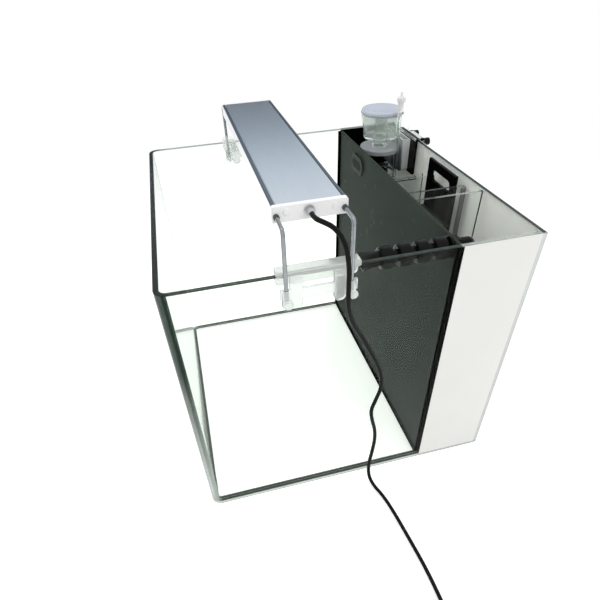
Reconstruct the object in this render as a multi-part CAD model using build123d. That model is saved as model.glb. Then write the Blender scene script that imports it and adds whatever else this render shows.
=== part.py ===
"""A rimless marine aquarium with a bent glass front, a filter chamber behind a dark
partition, a protein skimmer, and a light bar that stands on rods clipped to the side rims.
Sizes are in millimetres. The origin is the middle of the base on the ground, with the bent
front at -Y, the filter chamber at +Y and the viewer's side at +X."""
import os
from math import acos, atan2, cos, hypot, pi, radians, sin, sqrt, tan

from build123d import *

os.makedirs("parts", exist_ok=True)

# Glass tank
tank_width = 420.0
tank_length = 420.0
tank_height = 370.0
glass = 6.0
corner_radius = 14.0
bead = 4.0
bead_lip = 0.6
film = 0.4
film_backing = 0.3
half_width = tank_width / 2
half_length = tank_length / 2
inner_half = half_width - glass
inner_back = half_length - glass

# Filter chamber
chamber_depth = 91.0
partition_thickness = 4.0
partition_drop = 2.0
divider = 4.0
underflow = 40.0
far_divider_x = -76.0
far_divider_drop = 40.0
far_divider_top = tank_height - far_divider_drop
far_wall_x = -40.0
far_wall_drop = 29.0
far_wall_top = tank_height - far_wall_drop
near_wall_x = 43.0
near_wall_drop = 12.0
near_wall_top = tank_height - near_wall_drop
near_divider_x = 86.0
near_divider_drop = 2.0
near_divider_top = tank_height - near_divider_drop
partition_back = inner_back - chamber_depth
partition_face = partition_back - partition_thickness
partition_top = tank_height - partition_drop
guide_width = 4.5
guide_depth = 5.0
guide_crown = 4.0
guide_length = 158.0
guide_bottom = near_wall_top - guide_length

# Overflow strainer in the partition
strainer_x = -111.0
strainer_drop = 24.5
strainer_length = 50.0
strainer_height = 27.0
strainer_plate = 3.0
strainer_neck_length = 42.0
strainer_neck_height = 19.0
strainer_slots = 8
strainer_slot_width = 2.5
strainer_slot_height = 14.0
strainer_fit = 0.2

# Clearances
loose_gap = 0.3
running_gap = 0.05
slide_gap = 0.5

# Lift-out filter cartridge
plate_thickness = 4.0
plate_back_gap = 9.0
finger_height = 15.0
finger_margin = 12.0
shelf_z = 40.0
shelf_thickness = 3.0
shelf_slots = 6
shelf_slot_width = 3.5
sponge_drop = 70.0
sponge_top = tank_height - sponge_drop
sponge_side_gap = 1.0
sponge_round = 2.0

# Ball-joint return hose
hose_inset = 18.5
hose_drop = 13.0
hose_pitch = 21.0
hose_links = 3
ball_radius = 9.4
hose_bore = 5.2
neck_radius = 6.6
socket_radius = 12.4
socket_round = 3.0
socket_mouth = 5.2
socket_back = 9.8
first_ball_gap = 11.0
flange_radius = 12.8
flange_thickness = 3.0
spigot_radius = 8.4
nut_radius = 11.6
nut_thickness = 5.0
elbow_radius = 8.0
elbow_bore = 6.0
elbow_reach = 17.0
elbow_leg = 12.0
nozzle_length = 21.5
nozzle_width = 27.0
nozzle_height = 12.0
nozzle_wall = 1.5
hose_x = inner_half - hose_inset
hose_z = tank_height - hose_drop

# Return pump
pump_end_margin = 12.0
motor_gap = 5.0
motor_length = 60.0
motor_depth = 40.0
motor_height = 40.0
pump_round = 5.0
volute_length = 28.0
volute_margin = 2.0
volute_wall = 10.0
intake_slots = 3
intake_pitch = 5.0
intake_width = 2.5
intake_depth = 8.0
intake_half_height = 9.0
magnet_radius = 9.0
magnet_gap = 0.5
magnet_well_wall = 18.0
shaft_radius = 1.5
shaft_seat_depth = 6.0
shaft_far_seat_depth = 4.0
impeller_radius = 13.0
volute_radius = 15.0
impeller_width = 12.0
impeller_blades = 5
impeller_blade = 2.0
impeller_disc = 2.0
impeller_hub = 4.5
impeller_gap = 2.0
outlet_stub = 4.0
cup_radius = 6.0
cup_head_radius = 3.6
cup_height = 8.0
cup_inset = 9.0
motor_x = hose_x + pump_end_margin - volute_length - motor_length
motor_y = partition_back + motor_gap

# Skimmer
skimmer_divider_gap = 64.0
skimmer_x = far_divider_x - skimmer_divider_gap
skimmer_back_gap = 49.0
skimmer_y = inner_back - skimmer_back_gap
skimmer_radius = 28.0
skimmer_wall = 2.5
skimmer_floor = 4.0
skimmer_drop = 18.0
skimmer_top = tank_height - skimmer_drop
collar_radius = 31.4
collar_height = 7.0
collar_bore = 10.0
collar_round = 2.0
riser_radius = 9.6
riser_wall = 1.6
riser_foot_drop = 7.0
neck_foot_radius = 12.0
neck_flare = 13.0
cup_floor_rise = 3.0
cup_floor_z = tank_height + cup_floor_rise
cup_floor = 3.0
cup_foot_radius = 26.0
cup_rim_radius = 32.4
cup_wall = 1.9
cup_rim_rise = 40.0
cup_rim_z = tank_height + cup_rim_rise
riser_head_drop = 10.0
riser_head = cup_rim_z - riser_head_drop
lid_radius = 31.6
lid_thickness = 4.5
lid_round = 1.6
lid_plug_radius = 29.8
lid_plug_depth = 2.8
air_side_offset = 36.0
air_x = skimmer_x + air_side_offset
air_back_offset = 14.0
air_y = skimmer_y + air_back_offset
air_tube_radius = 3.0
air_tube_bore = 2.0
valve_radius = 4.5
valve_foot_radius = 3.4
valve_height = 21.0
valve_spout = 9.0
spout_rise = 7.4
spout_radius = 2.4
spout_bore = 1.2
valve_bore = 1.4
knob_radius = 6.2
knob_height = 5.5
knob_flutes = 10
knob_flute_radius = 1.1
knob_flute_offset = 0.6
nipple_height = 7.0
nipple_foot_radius = 2.6
nipple_head_radius = 1.6
skimmer_pump_offset = 32.0
skimmer_pump_x = skimmer_x + skimmer_pump_offset
skimmer_pump_length = 26.0
skimmer_pump_depth = 36.0
skimmer_pump_height = 40.0
skimmer_pump_round = 3.0
skimmer_pump_wall = 1.0
skimmer_pump_cavity = 10.0
skimmer_pump_cavity_depth = 8.0
skimmer_pump_intake = 5.0
skimmer_pump_intake_bore = 3.5
skimmer_shaft_seat = 11.0
skimmer_shaft_end_gap = 0.5
skimmer_impeller_radius = 8.5
skimmer_impeller_width = 5.0
skimmer_impeller_gap = 1.5
needle_holes = 8
needle_hole_radius = 1.0
needle_circle = 5.5
needle_hole_depth = 3.0
skimmer_inlet_bore = 4.0
skimmer_spigot = 6.0
skimmer_outlet_drop = 70.0
skimmer_outlet_z = tank_height - skimmer_outlet_drop
skimmer_outlet_bore = 8.0

# Skimmer bracket and its smoked splash guard
bracket_drop = 56.0
bracket_z = tank_height - bracket_drop
bracket_thickness = 4.0
bracket_far_reach = 32.0
bracket_x0 = skimmer_x - bracket_far_reach
bracket_near_reach = 10.0
bracket_x1 = air_x + bracket_near_reach
bracket_front_gap = 11.0
bracket_front = partition_back + bracket_front_gap
bracket_corner = 8.0
bracket_fit = 0.1
hook_far_reach = 28.0
hook_x0 = skimmer_x - hook_far_reach
hook_near_reach = 37.0
hook_x1 = skimmer_x + hook_near_reach
hook_thickness = 4.0
hook_outer_gap = 0.9
hook_drop = 17.0
screw_far_inset = 12.4
screw_near_inset = 12.0
screw_xs = (hook_x0 + screw_far_inset, hook_x1 - screw_near_inset)
screw_drop = 5.0
screw_z = tank_height - screw_drop
screw_radius = 2.0
screw_tip_gap = 0.4
screw_head_radius = 5.5
screw_head_length = 9.5
screw_neck = 4.5
screw_flutes = 8
screw_flute_radius = 1.2
screw_flute_offset = 0.5
guard_side_gap = 4.0
guard_x0 = -inner_half + guard_side_gap
guard_reach = 19.0
guard_x1 = skimmer_x + guard_reach
guard_back_gap = 4.5
guard_depth = 12.5
guard_back = inner_back - guard_back_gap
guard_front = guard_back - guard_depth
guard_wall = 2.0
guard_corner = 6.0
guard_drop = 1.0

# Light bar
bar_y = -49.5
bar_width = 75.0
bar_height = 16.0
bar_rise = 46.0
bar_bottom = tank_height + bar_rise
bar_length = 376.0
cap_thickness = 6.0
bar_wall = 3.0
bar_roof = 2.5
bar_edge = 2.0
lens_lip = 2.0
lens_lip_height = 1.5
lens_thickness = 2.5
groove_inset = 4.5
groove_width = 1.2
groove_depth = 0.8
lens_fit = 0.2
board_width = 60.0
board_end_gap = 4.0
board_thickness = 1.6
led_columns = 12
led_rows = 2
led_size = 5.0
led_height = 1.5
led_row_spacing = 26.0
led_end_margin = 10.0
cap_screw_offset = 24.0
cap_screw_rise = 10.0
cap_screw_z = bar_bottom + cap_screw_rise
cap_screw_radius = 1.5
cap_screw_head = 2.8
cap_screw_head_height = 1.2
leg_radius = 2.1
leg_offset = 34.0
leg_rise = 6.5
leg_z = bar_bottom + leg_rise
leg_seat = 5.5
leg_bend = 6.0
leg_foot_drop = 25.0
leg_foot_z = tank_height - leg_foot_drop
leg_stand_off = 6.0
cap_fit = 0.02
gland_offset = 1.5
gland_y = bar_y - gland_offset
gland_rise = 9.0
gland_z = bar_bottom + gland_rise
gland_thread = 3.9
gland_ring = 5.5
gland_ring_length = 2.5
gland_dome = 4.3
gland_dome_length = 3.5
gland_tip_length = 4.0
gland_tip_margin = 0.5

# Saddles on the side rims
saddle_front_reach = 42.5
saddle_y0 = bar_y - saddle_front_reach
saddle_back_reach = 44.5
saddle_y1 = bar_y + saddle_back_reach
saddle_top = 5.7
saddle_gap = 0.3
saddle_inner_wall = 3.7
saddle_inner_drop = 14.0
saddle_inner_round = 5.0
saddle_outer_wall = 3.5
tongue_width = 13.0
tongue_offset = 11.0
tongue_round = 6.0
tongue_drop = 38.0
tongue_bottom = tank_height - tongue_drop
cross_drop = 27.0
cross_bottom = tank_height - cross_drop
cross_height = 12.0
cross_top = cross_bottom + cross_height
cross_inset = 3.0
sleeve_drop = 35.0
sleeve_bottom = tank_height - sleeve_drop
sleeve_length = 22.0
sleeve_top = sleeve_bottom + sleeve_length
sleeve_bulb_radius = 5.5
sleeve_head_radius = 3.2
sleeve_gap = 0.1
lock_drop = 26.0
lock_z = tank_height - lock_drop
lock_stem = 1.5
lock_head_radius = 4.75
lock_head_width = 3.6
lock_lobes = 8
lock_flute_radius = 1.2
lock_flute_offset = 0.6

# Cord
cord_radius = 2.5
cord_route = (
    (198, -51, 425),
    (207, -51, 425),
    (216, -46.5, 425.5),
    (223, -38, 422.5),
    (228, -31, 413.5),
    (230.5, -27, 401),
    (231.5, -24.5, 385),
    (231.5, -24, 365),
    (230, -23.5, 344),
    (227, -20.5, 323),
    (223, -12.5, 300),
    (220.5, -3, 283),
    (219, 8, 260),
    (218, 20, 234),
    (217.5, 29, 210),
    (217.5, 31, 187),
    (218, 24.5, 165),
    (218, 19, 146),
    (218.5, 22.5, 125),
    (218.5, 28, 104),
    (219, 29.5, 80),
    (220, 26.5, 53),
    (223, 22, 30),
    (230, 20.5, 12),
    (243, 24.5, 3.2),
    (259, 31, 2.6),
    (283, 36, 2.6),
    (325, 41, 2.6),
    (372, 46, 2.6),
    (412, 47, 2.6),
    (440, 47, 2.6),
)
coil_start_radius = 33.0
coil_pitch = 5.6
coil_half_turns_in = 5
coil_half_turns_out = 6
coil_lead_in = 5.0
coil_tail = 28.0
connector_radius = 8.0
connector_relief = 14.0
connector_relief_margin = 0.7
connector_relief_head = 5.6
connector_body = 34.0
connector_round = 1.2
connector_flutes = 12
connector_flute_start = 6.0
connector_flute_length = 16.0
connector_flute_radius = 1.3
connector_flute_offset = 0.7
connector_mouth_radius = 6.0
connector_mouth_depth = 8.0
connector_pin_radius = 0.9
connector_pin_offset = 2.5
connector_pin_inset = 2.0
connector_pin_seat = 0.5


def save(name, solid):
    """Write one piece, or one group of like pieces, under its own name."""
    export_step(solid, f"parts/{name}.step")


def block(x0, x1, y0, y1, z0, z1):
    """A plain box between two corners."""
    middle = Pos((x0 + x1) / 2, (y0 + y1) / 2, (z0 + z1) / 2)
    return middle * Box(x1 - x0, y1 - y0, z1 - z0)


def rod_x(x0, x1, y, z, radius):
    """A round bar along X."""
    return Pos((x0 + x1) / 2, y, z) * Rot(0, 90, 0) * Cylinder(radius, x1 - x0)


def rod_y(x, y0, y1, z, radius):
    """A round bar along Y."""
    return Pos(x, (y0 + y1) / 2, z) * Rot(90, 0, 0) * Cylinder(radius, y1 - y0)


def rod_z(x, y, z0, z1, radius):
    """A round bar along Z."""
    return Pos(x, y, (z0 + z1) / 2) * Cylinder(radius, z1 - z0)


def cone_z(x, y, z0, z1, foot, head):
    """A round taper along Z."""
    return Pos(x, y, (z0 + z1) / 2) * Cone(foot, head, z1 - z0)


def tank_plan(inset, back):
    """The tank's plan inside the outer face by inset, round at the front corners."""
    front = -half_length + inset
    width = tank_width - 2 * inset
    plan = Pos(0, (front + back) / 2) * Rectangle(width, back - front)
    corners = plan.vertices().group_by(Axis.Y)[0]
    return fillet(corners, corner_radius - inset)


def base_pane():
    """The bottom sheet, which the walls stand on."""
    return extrude(tank_plan(0, half_length), glass)


def bent_wall():
    """One sheet bent round both front corners, which makes the front and both sides."""
    outer = extrude(tank_plan(0, inner_back), tank_height - glass)
    inner = extrude(tank_plan(glass, inner_back), tank_height - glass)
    return Pos(0, 0, glass) * (outer - inner)


def rear_pane():
    """The flat back sheet, bonded to the ends of the bent sheet."""
    return block(-half_width, half_width, inner_back, half_length, glass, tank_height)


def strainer_centre_z():
    """The height of the overflow opening's middle."""
    return partition_top - strainer_drop


def upright_slot(x, y0, y1, z, length, height):
    """A bar along Y whose section is a lying slot."""
    section = Plane(origin=(x, y1, z), x_dir=(1, 0, 0), z_dir=(0, -1, 0))
    return extrude(section * SlotOverall(length, height), y1 - y0)


def partition():
    """The dark sheet between the display and the filter chamber."""
    sheet = block(-inner_half, inner_half, partition_face, partition_back, glass, partition_top)
    overflow = upright_slot(strainer_x, partition_face - 1, partition_back + 1,
                            strainer_centre_z(), strainer_neck_length, strainer_neck_height)
    hose_hole = rod_y(hose_x, partition_face - 1, partition_back + 1, hose_z,
                      spigot_radius + 2 * running_gap)
    return sheet - overflow - hose_hole


def corner_bead(side, y, y_sign, z0, z1):
    """An upright bead of silicone in a corner between a wall and a sheet."""
    x = side * inner_half
    points = [(x, y), (x - side * bead, y), (x, y + y_sign * bead)]
    return Pos(0, 0, z0) * extrude(make_face(Polyline(points, close=True)), z1 - z0)


def silicone_beads():
    """The bead round the display's foot, and the upright beads in the corners."""
    floor = tank_plan(glass, partition_face)
    hollow_foot = Pos(0, 0, glass) * offset(floor, -bead)
    hollow_head = Pos(0, 0, glass + bead) * offset(floor, -bead_lip)
    foot = Pos(0, 0, glass) * extrude(floor, bead) - loft([hollow_foot, hollow_head])
    beads = [foot.solid()]
    for side in (-1, 1):
        beads.append(corner_bead(side, partition_face, -1, glass + bead, partition_top))
        beads.append(corner_bead(side, partition_back, 1, glass, partition_top))
        beads.append(corner_bead(side, inner_back, -1, glass, partition_top))
    return Compound(children=beads)


def side_film(side, inner, outer):
    """A sheet of film on the outside of one side wall, over the filter chamber."""
    x0, x1 = sorted((side * (half_width + inner), side * (half_width + outer)))
    return block(x0, x1, partition_back - divider / 2, inner_back, glass, tank_height)


def side_films():
    """The white film on both side walls."""
    return Compound(children=[side_film(s, film_backing, film_backing + film) for s in (-1, 1)])


def film_backings():
    """The black layer between each white side film and the glass."""
    return Compound(children=[side_film(s, 0, film_backing) for s in (-1, 1)])


def rear_film():
    """The white film on the outside of the rear pane."""
    return block(-half_width, half_width, half_length, half_length + film, glass, tank_height)


def chamber_wall(x, z0, z1):
    """A divider across the filter chamber, from the partition to the rear pane."""
    return block(x, x + divider, partition_back, inner_back, z0, z1)


def guide_bar():
    """The grey bar with a round top that stands beside the cartridge on the rear pane."""
    x = near_wall_x + divider
    bar = block(x, x + guide_width, inner_back - guide_depth, inner_back,
                guide_bottom, near_wall_top)
    crown = bar.edges().filter_by(Axis.X).group_by(Axis.Z)[-1].sort_by(Axis.Y)[0]
    return fillet(crown, guide_crown)


def overflow_strainer():
    """The slotted oval grille that keeps fish out of the overflow."""
    z = strainer_centre_z()
    grille = upright_slot(strainer_x, partition_face - strainer_plate, partition_face, z,
                          strainer_length, strainer_height)
    grille = grille + upright_slot(strainer_x, partition_face, partition_back, z,
                                   strainer_neck_length - 2 * strainer_fit,
                                   strainer_neck_height - 2 * strainer_fit)
    pitch = strainer_neck_length / (strainer_slots + 1)
    for i in range(strainer_slots):
        x = strainer_x + (i - (strainer_slots - 1) / 2) * pitch
        height = strainer_slot_height if 0 < i < strainer_slots - 1 else strainer_slot_height / 2
        grille = grille - block(x - strainer_slot_width / 2, x + strainer_slot_width / 2,
                                partition_face - strainer_plate - 1, partition_back + 1,
                                z - height / 2, z + height / 2)
    return grille


def cartridge_ends():
    """The two X values between which the cartridge slides."""
    return far_wall_x + divider + slide_gap, near_wall_x - slide_gap


def cartridge_plate():
    """The black lift-out plate with its finger hole, and the slotted shelf at its foot."""
    x0, x1 = cartridge_ends()
    back = inner_back - plate_back_gap
    bottom = glass + loose_gap
    plate = block(x0, x1, back - plate_thickness, back, bottom, tank_height)
    hole_z = tank_height - finger_margin - finger_height / 2
    plate = plate - upright_slot((x0 + x1) / 2, back - plate_thickness - 1, back + 1, hole_z,
                                 x1 - x0 - 2 * finger_margin, finger_height)
    front = partition_back + slide_gap + bead
    shelf = block(x0, x1, front, back - plate_thickness, shelf_z, shelf_z + shelf_thickness)
    pitch = (x1 - x0) / (shelf_slots + 1)
    for i in range(1, shelf_slots + 1):
        x = x0 + i * pitch
        shelf = shelf - block(x - shelf_slot_width / 2, x + shelf_slot_width / 2,
                              front + bead, back - plate_thickness - bead,
                              shelf_z - 1, shelf_z + shelf_thickness + 1)
    return plate + shelf


def filter_sponge():
    """The foam block that stands on the cartridge's shelf."""
    x0, x1 = cartridge_ends()
    back = inner_back - plate_back_gap - plate_thickness - loose_gap
    front = partition_back + slide_gap + bead
    foam = block(x0 + sponge_side_gap, x1 - sponge_side_gap, front + sponge_side_gap, back,
                 shelf_z + shelf_thickness, sponge_top)
    return fillet(foam.edges().filter_by(Axis.Z), sponge_round)


def hose_ball_y(index):
    """The place of a ball's middle, counted from the elbow's own ball."""
    return partition_face - first_ball_gap - index * hose_pitch


def ball(y):
    """One ball of the hose."""
    return Pos(hose_x, y, hose_z) * Sphere(ball_radius)


def hose_socket(y):
    """The barrel that grips the ball at y."""
    barrel = rod_y(hose_x, y - socket_back, y + socket_mouth, hose_z, socket_radius)
    return fillet(barrel.edges().filter_by(GeomType.CIRCLE), socket_round)


def socket_hollow(y):
    """The round hollow in a barrel, which the ball turns in."""
    return Pos(hose_x, y, hose_z) * Sphere(ball_radius + running_gap)


def hose_elbow():
    """The fitting through the partition: ball in front, spigot, and a bend down behind."""
    y0 = hose_ball_y(0)
    flange_y = partition_face - flange_thickness
    y_end = partition_back + elbow_reach
    body = ball(y0) + rod_y(hose_x, y0, flange_y, hose_z, neck_radius)
    body = body + rod_y(hose_x, flange_y, partition_face, hose_z, flange_radius)
    body = body + rod_y(hose_x, partition_face, partition_back + nut_thickness, hose_z,
                        spigot_radius)
    body = body + rod_y(hose_x, partition_back + nut_thickness, y_end, hose_z, elbow_radius)
    body = body + Pos(hose_x, y_end, hose_z) * Sphere(elbow_radius)
    body = body + rod_z(hose_x, y_end, hose_z - elbow_leg, hose_z, elbow_radius)
    bore = rod_y(hose_x, y0 - ball_radius - 1, partition_face, hose_z, hose_bore)
    bore = bore + rod_y(hose_x, partition_face - 1, y_end, hose_z, elbow_bore)
    bore = bore + Pos(hose_x, y_end, hose_z) * Sphere(elbow_bore)
    bore = bore + rod_z(hose_x, y_end, hose_z - elbow_leg - 1, hose_z, elbow_bore)
    return body - bore


def bulkhead_nut():
    """The six-sided nut that pulls the fitting against the partition."""
    section = Plane(origin=(hose_x, partition_back, hose_z), x_dir=(1, 0, 0), z_dir=(0, 1, 0))
    nut = extrude(section * RegularPolygon(nut_radius, 6), nut_thickness)
    return nut - rod_y(hose_x, partition_back - 1, partition_back + nut_thickness + 1,
                       hose_z, spigot_radius + running_gap)


def hose_link(index):
    """One link: its socket holds the ball behind it, and its own ball is in front."""
    y = hose_ball_y(index - 1)
    y_next = hose_ball_y(index)
    body = hose_socket(y) + rod_y(hose_x, y_next, y - socket_back, hose_z, neck_radius)
    body = body + ball(y_next) - socket_hollow(y)
    return body - rod_y(hose_x, y_next - ball_radius - 1, y, hose_z, hose_bore)


def rounded_mouth(y, width, height):
    """A flat rounded outline across the hose at y."""
    section = Plane(origin=(hose_x, y, hose_z), x_dir=(1, 0, 0), z_dir=(0, -1, 0))
    return section * RectangleRounded(width, height, height * 0.45)


def hose_circle(y, radius):
    """A round outline across the hose at y."""
    section = Plane(origin=(hose_x, y, hose_z), x_dir=(1, 0, 0), z_dir=(0, -1, 0))
    return section * Circle(radius)


def return_nozzle():
    """The flared fan nozzle, which swivels on the last ball."""
    y = hose_ball_y(hose_links)
    root = y - socket_back
    tip = root - nozzle_length
    wall = 2 * nozzle_wall
    flare = loft([hose_circle(root, elbow_radius), rounded_mouth(tip, nozzle_width, nozzle_height)])
    throat = loft([hose_circle(root, hose_bore),
                   rounded_mouth(tip, nozzle_width - wall, nozzle_height - wall)])
    body = hose_socket(y) + flare - throat - socket_hollow(y)
    return body - rod_y(hose_x, root, y, hose_z, hose_bore)


def pump_axis():
    """The Y and Z of the return pump's shaft."""
    return motor_y + motor_depth / 2, glass + cup_height + motor_height / 2


def outlet_y():
    """The Y of the return pump's riser, under the elbow."""
    return partition_back + elbow_reach


def pump_body():
    """The sealed motor of the return pump, with the well for its magnet."""
    y, z = pump_axis()
    x1 = motor_x + motor_length
    z0 = glass + cup_height
    body = block(motor_x, x1, motor_y, motor_y + motor_depth, z0, z0 + motor_height)
    body = fillet(body.edges().filter_by(Axis.X), pump_round)
    well_start = motor_x + magnet_well_wall
    well = rod_x(well_start, x1 + 1, y, z, magnet_radius + magnet_gap)
    seat = rod_x(well_start - shaft_seat_depth, well_start + 1, y, z,
                 shaft_radius + running_gap / 2)
    return body - well - seat


def pump_cover():
    """The pump's clip-on chamber, with intake slots, an outlet and the shaft's far seat."""
    y, z = pump_axis()
    x0 = motor_x + motor_length
    x1 = x0 + volute_length
    z0 = glass + cup_height - volute_margin
    z1 = z0 + motor_height + 3 * volute_margin
    cover = block(x0, x1, motor_y - volute_margin, motor_y + motor_depth + volute_margin, z0, z1)
    cover = fillet(cover.edges().filter_by(Axis.X), pump_round)
    outlet = outlet_y()
    chamber_end = x1 - volute_wall
    cover = cover + rod_z(hose_x, outlet, z1 - volute_margin, z1 + outlet_stub, elbow_radius)
    cover = cover - rod_x(x0 - 1, chamber_end, y, z, volute_radius)
    cover = cover - rod_x(chamber_end - 1, chamber_end + shaft_far_seat_depth, y, z,
                          shaft_radius + running_gap / 2)
    cover = cover - rod_z(hose_x, outlet, z + volute_radius / 3, z1 + outlet_stub + 1, elbow_bore)
    for i in range(1, intake_slots + 1):
        slot_x = chamber_end - (intake_slots + 1 - i) * intake_pitch + 1
        cover = cover - block(slot_x, slot_x + intake_width, motor_y + motor_depth - intake_depth,
                              motor_y + motor_depth + volute_margin + 1,
                              z - intake_half_height, z + intake_half_height)
    return cover


def pump_shaft():
    """The ceramic shaft, held at both ends, that the rotor turns on."""
    y, z = pump_axis()
    start = motor_x + magnet_well_wall - shaft_seat_depth
    end = motor_x + motor_length + volute_length - volute_wall + shaft_far_seat_depth
    return rod_x(start, end, y, z, shaft_radius)


def pump_rotor():
    """The magnet and the bladed wheel, which turn together on the shaft."""
    y, z = pump_axis()
    face = motor_x + motor_length
    disc = face + impeller_gap
    end = disc + impeller_width
    rotor = rod_x(motor_x + magnet_well_wall + 1, face - 1, y, z, magnet_radius)
    rotor = rotor + rod_x(face - 1, end, y, z, impeller_hub)
    rotor = rotor + rod_x(disc, disc + impeller_disc, y, z, impeller_radius)
    for i in range(impeller_blades):
        blade = block(disc, end, -impeller_blade / 2, impeller_blade / 2,
                      0, impeller_radius - magnet_gap)
        blade = Rot(360 * i / impeller_blades, 0, 0) * blade
        rotor = rotor + Pos(0, y, z) * blade
    return rotor - rod_x(motor_x, end + 1, y, z, shaft_radius + running_gap)


def pump_feet():
    """Four suction cups under the motor."""
    cups = []
    for x in (motor_x + cup_inset, motor_x + motor_length - cup_inset):
        for y in (motor_y + cup_inset, motor_y + motor_depth - cup_inset):
            cups.append(cone_z(x, y, glass, glass + cup_height, cup_radius, cup_head_radius))
    return Compound(children=cups)


def pump_riser():
    """The pipe from the pump's outlet up to the elbow."""
    z0 = glass + cup_height + 2 * volute_margin + motor_height + outlet_stub
    z1 = hose_z - elbow_leg
    pipe = rod_z(hose_x, outlet_y(), z0, z1, elbow_radius)
    return pipe - rod_z(hose_x, outlet_y(), z0 - 1, z1 + 1, elbow_bore)


def skimmer_axis_z():
    """The height of the skimmer pump's shaft."""
    return glass + skimmer_pump_height / 2


def skimmer_body():
    """The clear reaction tube, closed below, with its inlet and outlet holes."""
    z = skimmer_axis_z()
    edge = skimmer_x + skimmer_radius
    tube = rod_z(skimmer_x, skimmer_y, glass, skimmer_top, skimmer_radius)
    tube = tube - rod_z(skimmer_x, skimmer_y, glass + skimmer_floor, skimmer_top + 1,
                        skimmer_radius - skimmer_wall)
    tube = tube - rod_x(skimmer_x, edge + 1, skimmer_y, z, skimmer_spigot + bracket_fit)
    return tube - rod_y(skimmer_x, skimmer_y, skimmer_y + skimmer_radius + 1,
                        skimmer_outlet_z, skimmer_outlet_bore)


def skimmer_collar():
    """The grey ring on top of the tube, which the cup's neck drops into."""
    z1 = skimmer_top + collar_height
    ring = rod_z(skimmer_x, skimmer_y, skimmer_top, z1, collar_radius)
    ring = fillet(ring.edges().group_by(Axis.Z)[-1], collar_round)
    return ring - rod_z(skimmer_x, skimmer_y, skimmer_top - 1, z1 + 1, collar_bore)


def skimmer_cup():
    """The clear tapered foam cup, with the riser that runs down into the collar."""
    x, y = skimmer_x, skimmer_y
    seat = skimmer_top + collar_height + loose_gap
    cup = cone_z(x, y, cup_floor_z, cup_rim_z, cup_foot_radius, cup_rim_radius)
    cup = cup - cone_z(x, y, cup_floor_z + cup_floor, cup_rim_z,
                       cup_foot_radius - cup_wall, cup_rim_radius - cup_wall)
    cup = cup + rod_z(x, y, skimmer_top - riser_foot_drop, riser_head, riser_radius)
    cup = cup + cone_z(x, y, seat, cup_floor_z, neck_foot_radius, neck_flare)
    return cup - rod_z(x, y, skimmer_top - riser_foot_drop - 1, riser_head + 1,
                       riser_radius - riser_wall)


def skimmer_lid():
    """The lift-off lid, with a shallow plug inside the cup's rim."""
    z0 = cup_rim_z + loose_gap
    lid = rod_z(skimmer_x, skimmer_y, z0, z0 + lid_thickness, lid_radius)
    lid = fillet(lid.edges().group_by(Axis.Z)[-1], lid_round)
    return lid + rod_z(skimmer_x, skimmer_y, z0 - lid_plug_depth, z0, lid_plug_radius)


def skimmer_air_tube():
    """The clear air line from the valve down to the skimmer's pump."""
    z0 = glass + skimmer_pump_height
    tube = rod_z(air_x, air_y, z0, cup_rim_z, air_tube_radius)
    return tube - rod_z(air_x, air_y, z0 - 1, cup_rim_z + 1, air_tube_bore)


def air_valve_body():
    """The white valve on top of the air line, with its side spout."""
    z1 = cup_rim_z + valve_height
    body = cone_z(air_x, air_y, cup_rim_z, z1, valve_foot_radius, valve_radius)
    z = cup_rim_z + spout_rise
    body = body + rod_x(air_x, air_x + valve_spout, air_y, z, spout_radius)
    body = body - rod_z(air_x, air_y, cup_rim_z - 1, z, valve_bore)
    return body - rod_x(air_x, air_x + valve_spout + 1, air_y, z, spout_bore)


def air_valve_knob():
    """The valve's turning knob, fluted, with a nipple on top."""
    z0 = cup_rim_z + valve_height + loose_gap
    z1 = z0 + knob_height
    knob = rod_z(air_x, air_y, z0, z1, knob_radius)
    reach = knob_radius + knob_flute_offset
    for i in range(knob_flutes):
        angle = 2 * pi * i / knob_flutes
        knob = knob - rod_z(air_x + reach * cos(angle), air_y + reach * sin(angle),
                            z0 - 1, z1 + 1, knob_flute_radius)
    return knob + cone_z(air_x, air_y, z1, z1 + nipple_height,
                         nipple_foot_radius, nipple_head_radius)


def skimmer_pump():
    """The small pump that feeds the skimmer's tube through a spigot."""
    x0 = skimmer_pump_x
    x1 = x0 + skimmer_pump_length
    z = skimmer_axis_z()
    y0 = skimmer_y - skimmer_pump_depth / 2
    y1 = skimmer_y + skimmer_pump_depth / 2
    body = block(x0, x1, y0, y1, glass, glass + skimmer_pump_height)
    body = fillet(body.edges().filter_by(Axis.X), skimmer_pump_round)
    inner_edge = skimmer_x + skimmer_radius - skimmer_wall
    cavity = x0 + skimmer_pump_wall
    cavity_end = cavity + skimmer_pump_cavity_depth
    body = body + rod_x(inner_edge, cavity, skimmer_y, z, skimmer_spigot)
    body = body - rod_x(cavity, cavity_end, skimmer_y, z, skimmer_pump_cavity)
    body = body - rod_x(inner_edge - 1, cavity + 1, skimmer_y, z, skimmer_inlet_bore)
    body = body - rod_x(cavity_end - 1, cavity_end + skimmer_shaft_seat, skimmer_y, z,
                        shaft_radius + running_gap)
    return body - rod_y(x0 + skimmer_pump_intake, y0 - 1, skimmer_y, z,
                        skimmer_pump_intake_bore)


def skimmer_impeller():
    """The needle wheel, one piece with its shaft."""
    cavity = skimmer_pump_x + skimmer_pump_wall
    x0 = cavity + skimmer_impeller_gap
    x1 = cavity + skimmer_pump_cavity_depth + skimmer_shaft_seat - skimmer_shaft_end_gap
    z = skimmer_axis_z()
    wheel = rod_x(x0, x0 + skimmer_impeller_width, skimmer_y, z, skimmer_impeller_radius)
    wheel = wheel + rod_x(x0 + skimmer_impeller_width, x1, skimmer_y, z, shaft_radius)
    for i in range(needle_holes):
        angle = 2 * pi * (i + 0.5) / needle_holes
        wheel = wheel - rod_x(x0 - 1, x0 + needle_hole_depth,
                              skimmer_y + needle_circle * cos(angle),
                              z + needle_circle * sin(angle), needle_hole_radius)
    return wheel


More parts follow.
